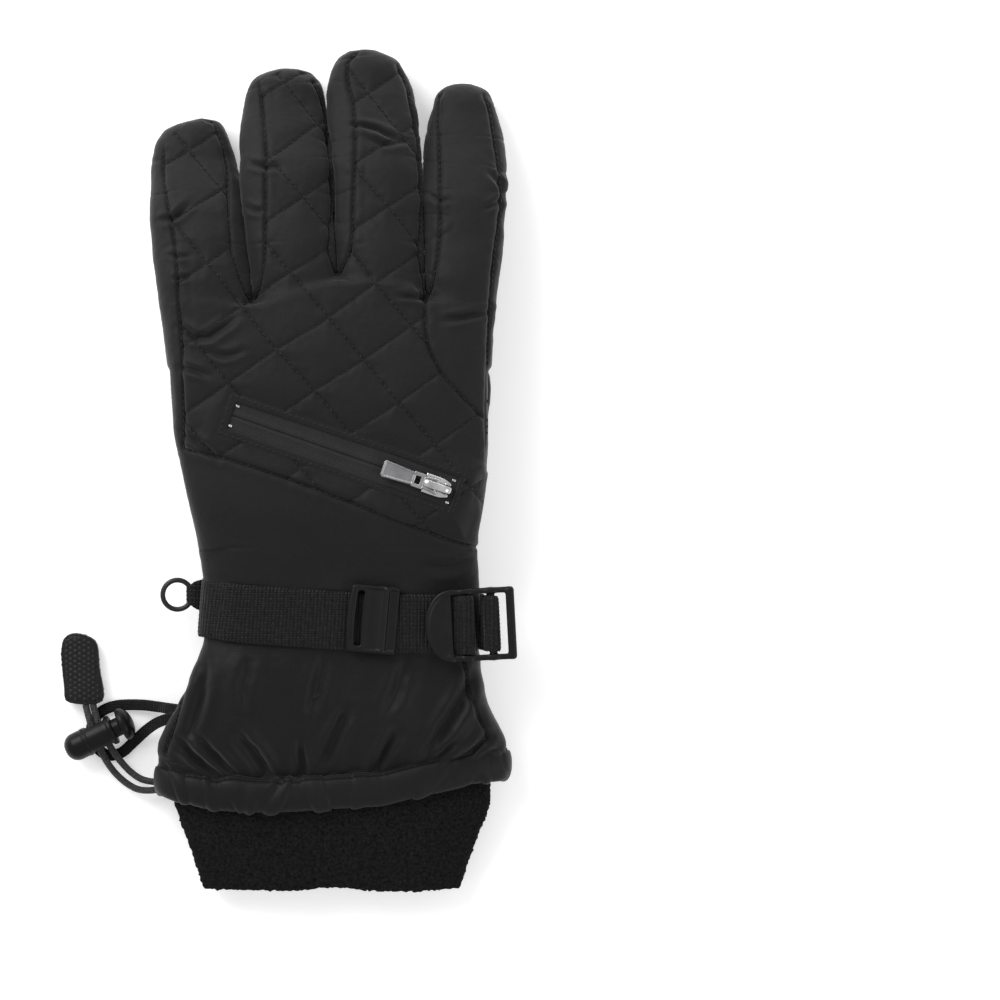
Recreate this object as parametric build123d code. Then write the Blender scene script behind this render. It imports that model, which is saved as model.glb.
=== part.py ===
"""Insulated ski glove for the left hand, lying back up with the thumb folded under the palm.

Frame: +Y runs from the cuff to the fingertips, +X to the thumb side, +Z up from the table that
the glove lies on. The origin is the middle of the glove's footprint, on the table.
"""

import os
from math import atan2, cos, degrees, hypot, radians, sin, sqrt, tan

from build123d import *

# ---------------------------------------------------------------- driving dimensions, mm
SHELL = 1.2  # outer fabric with its backing
FILL = 3.0  # batting
LINING = 0.8  # brushed lining
F_SHELL = 1.2  # finger shell
F_LINER = 3.0  # finger liner with its batting
GAP = 0.4  # running gap at each finger fold

# stations down the hand: y, left edge, right edge, underside, top
HAND = [
    (-72.0, -50.6, 55.5, 4.6, 31.8),
    (-52.0, -49.6, 55.2, 7.0, 31.8),
    (-39.0, -49.8, 55.0, 10.5, 32.4),
    (-32.0, -51.0, 55.0, 13.5, 37.0),
    (-20.0, -53.6, 55.6, 17.2, 43.0),
    (0.0, -57.8, 58.9, 17.2, 43.0),
    (30.0, -60.8, 58.9, 17.2, 43.0),
    (46.0, -63.4, 60.0, 17.2, 42.4),
    (66.0, -65.2, 61.4, 17.2, 39.4),
    (90.0, -66.4, 62.6, 17.2, 38.2),
]
GAUNTLET = [
    (-72.2, -50.6, 55.5, 4.6, 31.8),
    (-84.0, -55.0, 58.4, 2.6, 28.6),
    (-100.0, -63.6, 63.2, 1.2, 27.0),
    (-111.0, -67.2, 66.4, 0.6, 26.2),
]
HEM = [
    (-111.2, -68.25, 67.4, 0.0, 27.0),
    (-118.0, -68.25, 67.6, 0.0, 27.0),
    (-125.2, -66.6, 65.6, 0.4, 26.0),
]
CUFF = [
    (-80.0, -47.0, 48.0, 8.4, 22.6),
    (-111.0, -60.2, 59.2, 6.0, 20.6),
    (-125.6, -59.6, 58.0, 5.6, 20.2),
    (-157.9, -49.0, 47.8, 0.0, 16.0),
]
# finger: base fold x, y; tip x, y; half widths at base, mid fold and tip; share of length at mid fold
FINGERS = {
    "pinky": ((-47.6, 71.5), (-53.2, 131.2), 15.0, 15.0, 13.6, 0.42),
    "ring": ((-15.6, 80.5), (-17.6, 151.8), 15.0, 15.2, 14.2, 0.42),
    "middle": ((17.9, 80.5), (13.4, 157.9), 15.6, 16.0, 15.0, 0.43),
    "index": ((48.6, 72.5), (49.6, 145.6), 12.4, 13.8, 13.4, 0.42),
}
BASE_Z, MID_Z, TIP_Z = 27.9, 22.6, 9.3  # height of the finger's middle
BASE_T, MID_T, TIP_T = 21.0, 20.0, 17.0  # finger thickness
KNUCKLE_MAX, MIDDLE_MAX = 50.0, 55.0

# thumb, folded flat under the palm
THUMB_TOP, THUMB_WALL, THUMB_LINER = 16.2, 1.2, 2.6
THUMB_HINGE = (56.0, 16.4)  # x, z of the fold line, which runs along Y
THUMB_OUT = [(55.4, -19.6), (55.4, 42.0), (2.0, 71.6), (-10.0, 74.6), (-20.0, 72.8), (-27.4, 65.6), (-28.4, 55.6), (12.0, -12.0), (24.0, -19.6)]

# zipper
ZIP_A, ZIP_B = (-36.7, 20.2), (46.2, -8.6)
ZIP_W = 10.6
ZIP_TRAVEL = 73.0

# wrist strap
STRAP_Y0, STRAP_Y1, STRAP_X0, STRAP_X1 = -52.1, -59.3, -48.4, 51.4
STRAP_W, STRAP_T = 23.0, 1.5

# drawcord
CORD_D = 2.6
LOCK = (-87.6, -99.8)
LOCK_DIR = degrees(atan2(0.433, 0.901))


def vec(a, b):
    return tuple(q - p for p, q in zip(a, b))


def slot_face(y, xl, xr, zb, zt, inset=0.0):
    """A flattened round section of the glove at y, shrunk by inset all round."""
    w, t = xr - xl - 2 * inset, zt - zb - 2 * inset
    plane = Plane(origin=((xl + xr) / 2, y, (zb + zt) / 2), x_dir=(1, 0, 0), z_dir=(0, 1, 0))
    return plane * SlotOverall(w, t)


def tube(stations, inset, extend=0.0):
    """The solid inside a run of sections. extend lengthens both ends."""
    rows = [list(s) for s in stations]
    if extend:
        first, last = rows[0], rows[-1]
        step = extend if last[0] > first[0] else -extend
        rows = [[first[0] - step, *first[1:]], *rows, [last[0] + step, *last[1:]]]
    return loft([slot_face(*r, inset=inset).face() for r in rows], ruled=True)


def prism(points, z0, z1):
    return extrude(make_face(Polyline(*[(x, y, 0) for x, y in points], close=True)).moved(Location((0, 0, z0))), z1 - z0, dir=(0, 0, 1))


def side_prism(points, x0, x1):
    """A solid from (y, z) points, running from x0 to x1."""
    face = make_face(Polyline(*[(x0, y, z) for y, z in points], close=True))
    return extrude(face, x1 - x0, dir=(1, 0, 0))


def save(name, shape):
    solids = [s for s in (shape.solids() if not isinstance(shape, list) else [q for p in shape for q in p.solids()]) if s.volume > 0.05]
    out = Compound(children=solids) if len(solids) > 1 else solids[0]
    export_step(out, os.path.join("parts", name + ".step"))
    print(name, len(solids), round(sum(s.volume for s in solids), 1))


os.makedirs("parts", exist_ok=True)

# ---------------------------------------------------------------- fingers
finger = {}
for name, (b, t, hb, hm, ht, share) in FINGERS.items():
    flat = hypot(t[0] - b[0], t[1] - b[1])
    d = ((t[0] - b[0]) / flat, (t[1] - b[1]) / flat)
    axis = (d[1], -d[0], 0)  # across the finger, to +X
    mid = (b[0] + d[0] * flat * share, b[1] + d[1] * flat * share)
    p0, p1, p2 = Vector(*b, BASE_Z), Vector(*mid, MID_Z), Vector(*t, TIP_Z)
    d0, d1 = (p1 - p0).normalized(), (p2 - p1).normalized()
    finger[name] = dict(p0=p0, p1=p1, p2=p2, d0=d0, d1=d1, axis=axis, hb=hb, hm=hm, ht=ht)


def seg(p, d, axis, rows, inset=0.0):
    """A flattened round rod through sections (distance along d, half width, thickness)."""
    return loft([(Plane(origin=p + d * s, x_dir=axis, z_dir=d) * SlotOverall(2 * (h - inset), th - 2 * inset)).face() for s, h, th in rows], ruled=True)


def fold_cutter(p, d, axis, half, radius, front=60.0, back=0.0):
    """What a segment leaves free at its fold: all that is in front of the fold, and a round notch under it."""
    plane = Plane(origin=p, x_dir=axis, z_dir=d)
    ahead = plane * Pos(0, 0, front / 2) * Box(2 * half, 80, front)
    up = Vector(*axis).cross(d) * -1
    up = up if up.Z > 0 else up * -1
    cyl = Plane(origin=p - Vector(*axis) * half, x_dir=d, z_dir=axis) * Cylinder(radius, 2 * half, align=(Align.CENTER, Align.CENTER, Align.MIN))
    low = Plane(origin=p, x_dir=axis, z_dir=up) * Pos(0, 0, -40 + 0.2) * Box(2 * half + 2, 90, 80)
    return ahead, cyl & low


for name, f in finger.items():
    L0 = (f["p1"] - f["p0"]).length
    L1 = (f["p2"] - f["p1"]).length
    f["L0"], f["L1"] = L0, L1
    base_rows = [(GAP, f["hb"], BASE_T), (L0 + 0.001, f["hm"], MID_T)]
    inner_base = [(-4, f["hb"], BASE_T), (L0 + 4, f["hm"], MID_T)]
    tip_rows = [(GAP, f["hm"], MID_T), (L1 - 13, f["ht"] + 0.8, TIP_T + 0.8), (L1 - 5, f["ht"] - 1.5, TIP_T - 1.2), (L1 - 1.2, f["ht"] - 5.0, TIP_T - 5.2), (L1, f["ht"] - 8.0, TIP_T - 9.0)]
    a, c = fold_cutter(f["p1"], f["d0"], f["axis"], 22, 12.0, front=40)
    body = seg(f["p0"], f["d0"], f["axis"], base_rows)
    s1 = seg(f["p0"], f["d0"], f["axis"], inner_base, F_SHELL)
    s2 = seg(f["p0"], f["d0"], f["axis"], inner_base, F_SHELL + F_LINER)
    save(f"{name}_finger_base_shell", (body - s1) - c)
    save(f"{name}_finger_base_liner", ((body & s1) - s2) - c)
    tip = seg(f["p1"], f["d1"], f["axis"], tip_rows)
    in_rows = [(-2, f["hm"], MID_T), (L1 - 13, f["ht"] + 0.8, TIP_T + 0.8), (L1 - 5 - F_SHELL, f["ht"] - 1.5, TIP_T - 1.2), (L1 - 1.2 - F_SHELL, f["ht"] - 5.0, TIP_T - 5.2)]
    t1 = seg(f["p1"], f["d1"], f["axis"], in_rows, F_SHELL)
    in2 = [(-2, f["hm"], MID_T), (L1 - 14, f["ht"] + 0.8, TIP_T + 0.8), (L1 - 5 - F_SHELL - F_LINER, f["ht"] - 1.5, TIP_T - 1.2)]
    t2 = seg(f["p1"], f["d1"], f["axis"], in2, F_SHELL + F_LINER)
    save(f"{name}_fingertip_shell", tip - t1)
    save(f"{name}_fingertip_liner", (tip & t1) - t2)

# ---------------------------------------------------------------- hand
T0, T1 = tube(HAND, 0), tube(HAND, SHELL, 1)
T2, T3 = tube(HAND, SHELL + FILL, 2), tube(HAND, SHELL + FILL + LINING, 3)
ends = prism([(-90, -72.0), (90, -72.0), (90, 90.0), (-90, 90.0)], -10, 70)
# the knuckle line: nothing of the hand is in front of each finger's fold
zones = [("pinky", -90, -31.6), ("ring", -31.6, 1.4), ("middle", 1.4, 35.0), ("index", 35.0, 90)]
front = None
for name, x0, x1 in zones:
    f = finger[name]
    y = f["p0"].Y
    slope = -f["axis"][1] / f["axis"][0]
    pts = [(x0, y - slope * (x0 - f["p0"].X)), (x1, y - slope * (x1 - f["p0"].X)), (x1, 110), (x0, 110)]
    block = prism(pts, -10, 70)
    cyl = Plane(origin=f["p0"] - Vector(*f["axis"]) * (f["p0"].X - x0), x_dir=(0, 1, 0), z_dir=f["axis"]) * Cylinder(12.6, x1 - x0 + 0.0, align=(Align.CENTER, Align.CENTER, Align.MIN))
    low = prism([(x0, 40), (x1, 40), (x1, 100), (x0, 100)], -20, BASE_Z + 0.2)
    cutter = block + (cyl & low)
    front = cutter if front is None else front + cutter

mid_line = [(y, (zb + zt) / 2) for y, xl, xr, zb, zt in HAND]
above = side_prism([*mid_line, (90, 80), (-72, 80)], -90, 90)
flat_l = [(xl + (zt - zb) / 2 + 0.8, y) for y, xl, xr, zb, zt in HAND]
flat_r = [(xr - (zt - zb) / 2 - 0.8, y) for y, xl, xr, zb, zt in HAND]
flat_zone = prism([*flat_l, *reversed(flat_r)], -10, 70)
left_half = prism([(-90, -90), (0, -90), (0, 110), (-90, 110)], -10, 70)

# zipper window and the channel under it
zl = hypot(*vec(ZIP_A, ZIP_B))
za = degrees(atan2(ZIP_B[1] - ZIP_A[1], ZIP_B[0] - ZIP_A[0]))
zc = ((ZIP_A[0] + ZIP_B[0]) / 2, (ZIP_A[1] + ZIP_B[1]) / 2)
ZTOP = 43.0


def zbox(l, w, z0, z1, along=0.0, across=0.0):
    return Pos(*zc, 0) * Rot(0, 0, za) * Pos(along, across, (z0 + z1) / 2) * Box(l, w, z1 - z0)


window = zbox(zl, ZIP_W, ZTOP - 3, ZTOP + 3)
channel = zbox(zl + 2, ZIP_W + 4, ZTOP - SHELL - FILL, ZTOP - SHELL)
bag_space = zbox(zl - 4, 40, ZTOP - SHELL - FILL, ZTOP - SHELL - FILL + 0.8, 0, 7)

# thumb passage through the palm
hole_pts = [(30.0, -14.0), (50.0, -14.0), (50.0, 30.0), (30.0, 30.0)]
passage = prism(hole_pts, -5, 24.0)

shell = ((T0 & ends) - T1) - front
top = shell & flat_zone & above
bottom = (shell & flat_zone) - above
sides = shell - flat_zone
seam = prism([(-90, 14.6), (90, -39.3), (90, 110), (-90, 110)], -10, 70)
save("back_quilted_panel", (top & seam) - window)
save("back_wrist_panel", top - seam)
save("palm_panel", bottom - passage)
save("pinky_side_panel", sides & left_half)
save("thumb_side_panel", (sides - left_half) - window - channel - passage)

fill = ((T1 & ends) - T2) - front
save("back_insulation", (fill & above) - channel - bag_space)
save("palm_insulation", (fill - above) - passage)
lining = ((T2 & ends) - T3) - front
save("hand_lining", lining - passage)

# grip patch: one piece of rubberised cloth across the palm
patch = [(-30.5, -17.0), (-36.0, -4.0), (-38.4, 24.0), (-36.0, 40.0), (-28.0, 44.8), (20.0, 44.8), (46.0, 44.8), (46.0, 32.0), (27.0, 32.0), (27.0, -20.0), (-10.0, -22.6)]
save("palm_grip_patch", prism(patch, 16.5, 17.2) - T0)

# elastic that gathers the wrist on the palm side
save("wrist_elastic", ((tube(HAND, SHELL + FILL + LINING, 3) - tube(HAND, SHELL + FILL + LINING + 0.7, 4)) & prism([(-38, -60), (42, -60), (42, -53), (-38, -53)], -10, 60)) - above)

# ---------------------------------------------------------------- thumb
def grow(points, by):
    face = make_face(Polyline(*[(x, y, 0) for x, y in points], close=True))
    return offset(face, amount=by, kind=Kind.INTERSECTION)


def slab(points, by, z0, z1, radius=0.0):
    f = grow(points, by) if by else make_face(Polyline(*[(x, y, 0) for x, y in points], close=True))
    return extrude(f.moved(Location((0, 0, z0))), z1 - z0, dir=(0, 0, 1))


thumb_hole = prism([(31.0, -13.0), (49.0, -13.0), (49.0, 29.0), (31.0, 29.0)], 8, 20)
th0 = slab(THUMB_OUT, 0, 0.0, THUMB_TOP)
low_edges = [e for e in th0.edges() if e.center().Z < 0.01 and not (abs(e.center().X - 55.4) < 0.1)]
try:
    th0 = chamfer(low_edges, 4.0)
except Exception as error:
    print("thumb chamfer skipped", error)
th1 = slab(THUMB_OUT, -THUMB_WALL, THUMB_WALL, THUMB_TOP - THUMB_WALL)
th2 = slab(THUMB_OUT, -THUMB_WALL - THUMB_LINER, THUMB_WALL + THUMB_LINER, THUMB_TOP - THUMB_WALL - THUMB_LINER)
core = chamfer([e for e in slab(THUMB_OUT, -THUMB_WALL, THUMB_WALL, THUMB_TOP - THUMB_WALL).edges() if e.center().Z < THUMB_WALL + 0.01 and not (abs(e.center().X - 55.4 + THUMB_WALL) < 0.1)], 3.6)
save("thumb_shell", (th0 - core) - thumb_hole)
save("thumb_liner", ((core) - th2) - thumb_hole)

# ---------------------------------------------------------------- gauntlet, hem and inner cuff
g0, g1, g2 = tube(GAUNTLET, 0), tube(GAUNTLET, SHELL, 1), tube(GAUNTLET, SHELL + 1.6, 2)
g_mid = side_prism([*[((y), (zb + zt) / 2) for y, xl, xr, zb, zt in GAUNTLET], (-111, 60), (-72.2, 60)], -90, 90)
g_shell = g0 - g1
save("gauntlet_back_panel", g_shell & g_mid)
save("gauntlet_palm_panel", g_shell - g_mid)
save("gauntlet_lining", (g0 & g1) - g2)

h0, h1 = tube(HEM, 0), tube(HEM, 4.8, 1)
groove = [(-116.0, *HEM[1][1:]), (-121.0, -67.6, 66.8, 0.2, 26.6)]
gr_out = loft([slot_face(*groove[0], inset=1.0).face(), slot_face(*groove[1], inset=1.0).face()], ruled=True)
gr_in = loft([slot_face(*groove[0], inset=3.8).face(), slot_face(*groove[1], inset=3.8).face()], ruled=True)
channel_ring = gr_out - gr_in
exit_hole = Pos(-66.0, -119.6, 6.4) * Box(10.0, 6.0, 4.0)
save("gauntlet_hem", (h0 - h1) - channel_ring - exit_hole)
r_out = (Plane(origin=((-67.9 + 67.2) / 2, -118.5, 13.45), x_dir=(1, 0, 0), z_dir=(0, 1, 0)) * SlotOverall(135.1 - 4.8, 26.7 - 4.8)).face()
ring_wire = r_out.outer_wire()
ring_plane = Plane(origin=ring_wire @ 0, z_dir=ring_wire % 0)
hem_cord = sweep(ring_plane * Circle(CORD_D / 2 - 0.1), path=ring_wire)
save("hem_drawcord", hem_cord - (Pos(-66.0, -119.6, 6.4) * Box(11.0, 8.0, 4.6)))

c0, c1 = tube(CUFF, 0), tube(CUFF, 2.4, 1)
save("fleece_cuff", c0 - c1)

# ---------------------------------------------------------------- zipper
TAPE = (40.9, 41.5)
COIL = (41.5, 42.6)
PLATE = (43.0, 44.0)
UNDER = (39.8, 40.5)


def zlocal(shape):
    """From the zipper's own frame: x along it from ZIP_A to ZIP_B, middle at 0."""
    return Pos(*zc, 0) * Rot(0, 0, za) * shape


def zb(x0, x1, y0, y1, z0, z1):
    return Pos((x0 + x1) / 2, (y0 + y1) / 2, (z0 + z1) / 2) * Box(x1 - x0, y1 - y0, z1 - z0)


HALF = zl / 2
outer_welt = extrude(make_face(Polyline((-HALF - 3.4, -ZIP_W / 2 - 3.2, 0), (HALF + 3.4, -ZIP_W / 2 - 3.2, 0), (HALF + 3.4, ZIP_W / 2 + 3.2, 0), (-HALF - 3.4, ZIP_W / 2 + 3.2, 0), close=True)), 0.7, dir=(0, 0, 1))
save("zip_welt", zlocal((Pos(0, 0, ZTOP) * outer_welt) - zb(-HALF, HALF, -ZIP_W / 2, ZIP_W / 2, 40, 46)))
save("zipper_tape", [zlocal(zb(-HALF - 0.6, HALF + 0.6, 0.7, ZIP_W / 2 + 1.6, *TAPE)), zlocal(zb(-HALF - 0.6, HALF + 0.6, -ZIP_W / 2 - 1.6, -0.7, *TAPE))])
save("zipper_coil", [zlocal(zb(-HALF + 1.2, HALF - 1.2, side * 1.6 - 0.85, side * 1.6 + 0.85, *COIL)) for side in (-1, 1)])
stops = [zlocal(zb(-HALF + 0.05, -HALF + 1.0, s * 1.6 - 0.9, s * 1.6 + 0.9, TAPE[1], 43.2)) for s in (-1, 1)]
stops.append(zlocal(zb(HALF - 1.0, HALF - 0.05, -2.4, 2.4, TAPE[1], 43.2)))
save("zip_stops", stops)
save("pocket_bag", zbox(zl - 4.6, 39.4, 38.85, 39.35, 0, 7))

SX = HALF - 7.2  # middle of the slider at rest, at the thumb end
slider = zb(SX - 5, SX + 5, -3.7, 3.7, *PLATE)
slider = chamfer(slider.edges().filter_by(Axis.Z), 1.6)
slider += zb(SX - 4.2, SX + 4.2, 2.9 - 0.1, 3.7, 41.95, 43.1) + zb(SX - 4.2, SX + 4.2, -3.7, -2.8, 41.95, 43.1)
slider += zb(SX + 1.6, SX + 4.2, -0.4, 0.4, UNDER[0], 43.1)
slider += zb(SX - 4.6, SX + 4.6, -3.3, 3.3, *UNDER)
slider += zb(SX - 4.4, SX - 3.2, -0.8, 0.8, 43.9, 46.9) + zb(SX + 3.2, SX + 4.4, -0.8, 0.8, 43.9, 46.9) + zb(SX - 4.4, SX + 4.4, -0.8, 0.8, 46.1, 46.9)
save("zip_slider", zlocal(slider))
PULL_Z = 45.05
pull = Pos(SX, 0, PULL_Z) * Rot(90, 0, 0) * Cylinder(0.6, 5.6)
pull += zb(SX - 6.2, SX, 1.3, 2.8, PULL_Z - 0.6, PULL_Z + 0.6) + zb(SX - 6.2, SX, -2.8, -1.3, PULL_Z - 0.6, PULL_Z + 0.6)
save("zip_pull", zlocal(pull + zb(SX - 7.4, SX - 6.0, -2.8, 2.8, PULL_Z - 0.6, PULL_Z + 0.6)))
tab = prism([(SX - 21.4, -2.4), (SX - 7.5, -3.3), (SX - 7.5, 3.3), (SX - 21.4, 2.4)], PULL_Z - 0.7, PULL_Z + 0.7)
save("zip_pull_tab", zlocal(tab))
pull_at = Vector(*(zlocal(Pos(SX, 0, PULL_Z) * Box(0.1, 0.1, 0.1)).center()))
print("zip pull hinge", pull_at, "axis", (cos(radians(za + 90)), sin(radians(za + 90))), "travel dir", (-cos(radians(za)), -sin(radians(za))))

# ---------------------------------------------------------------- wrist strap and its ladder lock
SA = degrees(atan2(STRAP_Y1 - STRAP_Y0, STRAP_X1 - STRAP_X0))
S0 = ((STRAP_X0 + STRAP_X1) / 2, (STRAP_Y0 + STRAP_Y1) / 2)


def slocal(shape):
    """From the strap's own frame: x along it to the buckle, 0 in the middle of the wrist."""
    return Pos(*S0, 0) * Rot(0, 0, SA) * shape


def band(profile, width):
    """A piece of webbing from its (x, z) outline, across the strap's width."""
    face = make_face(Polyline(*[(x, -width / 2, z) for x, z in profile], close=True))
    return extrude(face, width, dir=(0, 1, 0))


ZS = 32.1  # underside of the strap on the wrist
BAR_A, BAR_B, BAR_Z = 49.0, 58.9, 36.5
strap = band([(-50.4, ZS), (42.6, ZS), (42.6, ZS + 1.3), (-50.4, ZS + 1.3)], STRAP_W - 0.6)
strap += band([(-51.8, 24.0), (-50.4, 24.0), (-50.4, ZS + 1.3), (-51.8, ZS + 0.4)], STRAP_W - 0.6)
side_clear = tube([(y, xl - 0.3, xr + 0.3, zb_, zt + 0.3) for y, xl, xr, zb_, zt in HAND], 0)
save("wrist_strap", slocal(strap) - side_clear)
free_end = band([(23.0, ZS + 1.5), (42.6, ZS + 1.5), (42.6, ZS + 2.8), (23.0, ZS + 2.8)], STRAP_W - 0.6)
save("strap_free_end", slocal(free_end))
clip = band([(5.6, ZS + 1.5), (22.8, ZS + 1.5), (22.8, ZS + 4.4), (20.6, ZS + 4.9), (9.0, ZS + 4.6), (5.6, ZS + 3.4)], 26.0)
clip -= band([(14.8, ZS + 2.2), (23.0, ZS + 2.2), (23.0, ZS + 3.8), (14.8, ZS + 3.8)], 23.2)
clip -= Pos(8.6, 0, ZS + 3) * Box(1.9, 19.0, 6)
save("strap_end_clip", slocal(clip))
loop = Plane(origin=(BAR_A, -(STRAP_W - 0.6) / 2, BAR_Z), x_dir=(1, 0, 0), z_dir=(0, 1, 0)) * (Cylinder(2.9, STRAP_W - 0.6, align=(Align.CENTER, Align.CENTER, Align.MIN)) - Cylinder(1.6, STRAP_W - 0.6, align=(Align.CENTER, Align.CENTER, Align.MIN)))
lower = band([(43.0, ZS), (43.0, ZS + 1.3), (48.6, BAR_Z - 1.62), (49.2, BAR_Z - 2.9)], STRAP_W - 0.6)
upper = band([(43.0, ZS + 1.6), (43.0, ZS + 2.9), (46.8, BAR_Z + 1.6), (48.4, BAR_Z + 2.6), (47.0, BAR_Z - 0.1)], STRAP_W - 0.6)
bar_a_hole = Plane(origin=(BAR_A, -20, BAR_Z), x_dir=(1, 0, 0), z_dir=(0, 1, 0)) * Cylinder(1.6, 40, align=(Align.CENTER, Align.CENTER, Align.MIN))
save("strap_loop", slocal((loop + lower + upper) - bar_a_hole))


def ybar(x, z, r, half):
    return Plane(origin=(x, -half, z), x_dir=(1, 0, 0), z_dir=(0, 1, 0)) * Cylinder(r, 2 * half, align=(Align.CENTER, Align.CENTER, Align.MIN))


lock = zb(40.6, 66.9, 12.0, 14.2, BAR_Z - 1.9, BAR_Z + 1.9) + zb(40.6, 66.9, -14.2, -12.0, BAR_Z - 1.9, BAR_Z + 1.9)
lock += ybar(BAR_A, BAR_Z, 1.5, 12.2) + ybar(BAR_B, BAR_Z, 1.5, 12.2)
lock += zb(64.6, 66.9, -12.4, 12.4, BAR_Z - 1.7, BAR_Z + 1.7)
lock += prism([(40.6, -14.2), (40.6, 14.2), (36.2, 11.0), (34.2, 5.0), (34.2, -5.0), (36.2, -11.0)], BAR_Z + 0.3, BAR_Z + 1.9)
lock += zb(40.4, 43.4, -12.4, 12.4, BAR_Z + 0.3, BAR_Z + 1.9)
save("ladder_lock", slocal(lock))
hinge_at = slocal(Pos(BAR_B, 0, BAR_Z) * Box(0.1, 0.1, 0.1)).center()
print("buckle hinge", hinge_at, "axis", (-sin(radians(SA)), cos(radians(SA))))
web = Plane(origin=(BAR_B, -10.4, BAR_Z), x_dir=(1, 0, 0), z_dir=(0, 1, 0)) * (Cylinder(3.0, 20.8, align=(Align.CENTER, Align.CENTER, Align.MIN)) - Cylinder(1.85, 20.8, align=(Align.CENTER, Align.CENTER, Align.MIN)))
leg = band([(BAR_B - 2.9, BAR_Z - 0.6), (BAR_B + 1.8, BAR_Z - 2.3), (55.6, 19.0), (53.0, 18.0), (53.6, 24.0)], 20.8)
leg -= ybar(BAR_B, BAR_Z, 1.85, 20)
save("buckle_anchor_webbing", slocal(web + leg) - side_clear)

# ---------------------------------------------------------------- clip ring on the pinky side
RING = (-58.6, -46.9, 16.4)
RING_R, RING_WIRE = 5.5, 0.95
save("clip_ring", Pos(*RING) * Torus(RING_R, RING_WIRE))
tabx = RING[0] + RING_R
fold = Plane(origin=(tabx, RING[1] - 1.9, RING[2]), x_dir=(1, 0, 0), z_dir=(0, 1, 0))
tab = fold * Cylinder(2.3, 3.8, align=(Align.CENTER, Align.CENTER, Align.MIN))
tab += Pos(tabx + 1.2, RING[1], RING[2]) * Box(2.4, 3.8, 4.6)
tab -= fold * Cylinder(1.45, 3.8, align=(Align.CENTER, Align.CENTER, Align.MIN))
tab += Pos(tabx + 3.3, RING[1], RING[2]) * Box(3.2, 11.6, 4.6)
save("ring_tab", tab - side_clear)

# ---------------------------------------------------------------- drawcord, cord lock, pull tab and anchor tape
STRAND_A = [(-67.4, -121.0, 6.4), (-72.4, -121.4, 5.4), (-78.0, -118.2, 4.0), (-83.0, -113.2, 3.8), (-86.6, -107.2, 5.4), (-89.2, -100.6, 7.1), (-91.5, -94.2, 5.4), (-93.0, -88.4, 3.4)]
STRAND_B = [(-67.4, -118.0, 6.4), (-71.4, -117.6, 5.4), (-76.0, -114.4, 4.0), (-80.0, -109.8, 3.9), (-83.4, -104.6, 5.4), (-86.2, -99.0, 7.1), (-88.8, -93.6, 5.4), (-90.2, -88.2, 3.4)]


def cord_path(points):
    v = [Vector(*p) for p in points]
    radii = []
    for a, b, c in zip(v, v[1:], v[2:]):
        u, w = b - a, c - b
        radii.append(0.45 * min(u.length, w.length) / tan(radians(u.get_angle(w)) / 2))
    return FilletPolyline(*points, radius=radii), radii


def cord(points, d):
    path, radii = cord_path(points)
    plane = Plane(origin=path @ 0, z_dir=path % 0)
    solid = sweep(plane * Circle(d / 2), path=path)
    print("cord length", round(path.length, 1), "volume ratio", round(solid.volume / (3.14159265 * d * d / 4 * path.length), 3), "radii", [round(r, 1) for r in radii])
    return solid


save("drawcord_strand_front", cord(STRAND_A, CORD_D))
save("drawcord_strand_back", cord(STRAND_B, CORD_D))
LZ = 7.1
LX, LY = -87.7, -99.8
axis = Vector(0.901, 0.433, 0)


def llocal(shape):
    """From the cord lock's own frame: x along it to the button."""
    return Pos(LX, LY, LZ) * Rot(0, 0, LOCK_DIR) * shape


def xcyl(x0, x1, r):
    return Pos((x0 + x1) / 2, 0, 0) * Rot(0, 90, 0) * Cylinder(r, x1 - x0)


barrel = xcyl(-8.4, 6.0, 5.5) + Pos(-8.4, 0, 0) * Sphere(5.5)
barrel -= xcyl(-9.4, 6.1, 4.1)
barrel -= zb(-4.3, 4.3, -9, 9, -2.8, 2.8)
barrel = barrel & zb(-14.2, 8, -6, 6, -6, 6)
save("cord_lock_barrel", llocal(barrel))
button = xcyl(-5.2, 9.6, 3.7) + xcyl(9.4, 12.2, 5.0)
button -= zb(-4.3, 4.3 + 3.2, -6, 6, -2.8, 2.8)
save("cord_lock_button", llocal(button))
spring = [Pos(-9.05 + i * 0.65, 0, 0) * Rot(0, 90, 0) * Torus(3.1, 0.3) for i in range(2)]
save("cord_lock_spring", [llocal(t) for t in spring])
TAB = [(-102.9, -68.6), (-101.8, -63.0), (-97.7, -60.4), (-91.7, -61.5), (-87.9, -64.9), (-87.2, -73.9), (-86.1, -87.4), (-99.6, -87.8), (-101.8, -80.3)]
pull_tab = prism(TAB, 1.2, 5.8)
for pts in (STRAND_A, STRAND_B):
    a, b = Vector(*pts[-2]), Vector(*pts[-1])
    d = (b - a).normalized()
    pull_tab -= Plane(origin=b - d * 0.001, z_dir=d) * Cylinder(CORD_D / 2, 0.001)
    pull_tab -= Plane(origin=a, z_dir=d) * Cylinder(CORD_D / 2 + 0.15, (b - a).length, align=(Align.CENTER, Align.CENTER, Align.MIN))
save("drawcord_pull_tab", pull_tab)
ANCHOR = [(-61.6, -89.9, 12.0), (-66.0, -89.7, 7.0), (-72.9, -89.0, 2.2), (-82.0, -89.2, 1.0), (-88.0, -91.6, 0.7), (-91.2, -97.0, 0.7), (-90.0, -103.4, 0.7), (-85.4, -107.4, 0.7), (-80.1, -106.6, 0.8), (-75.2, -102.4, 1.4), (-70.9, -98.4, 4.6), (-66.6, -95.4, 9.0), (-62.4, -94.4, 13.0)]
rows = []
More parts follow.
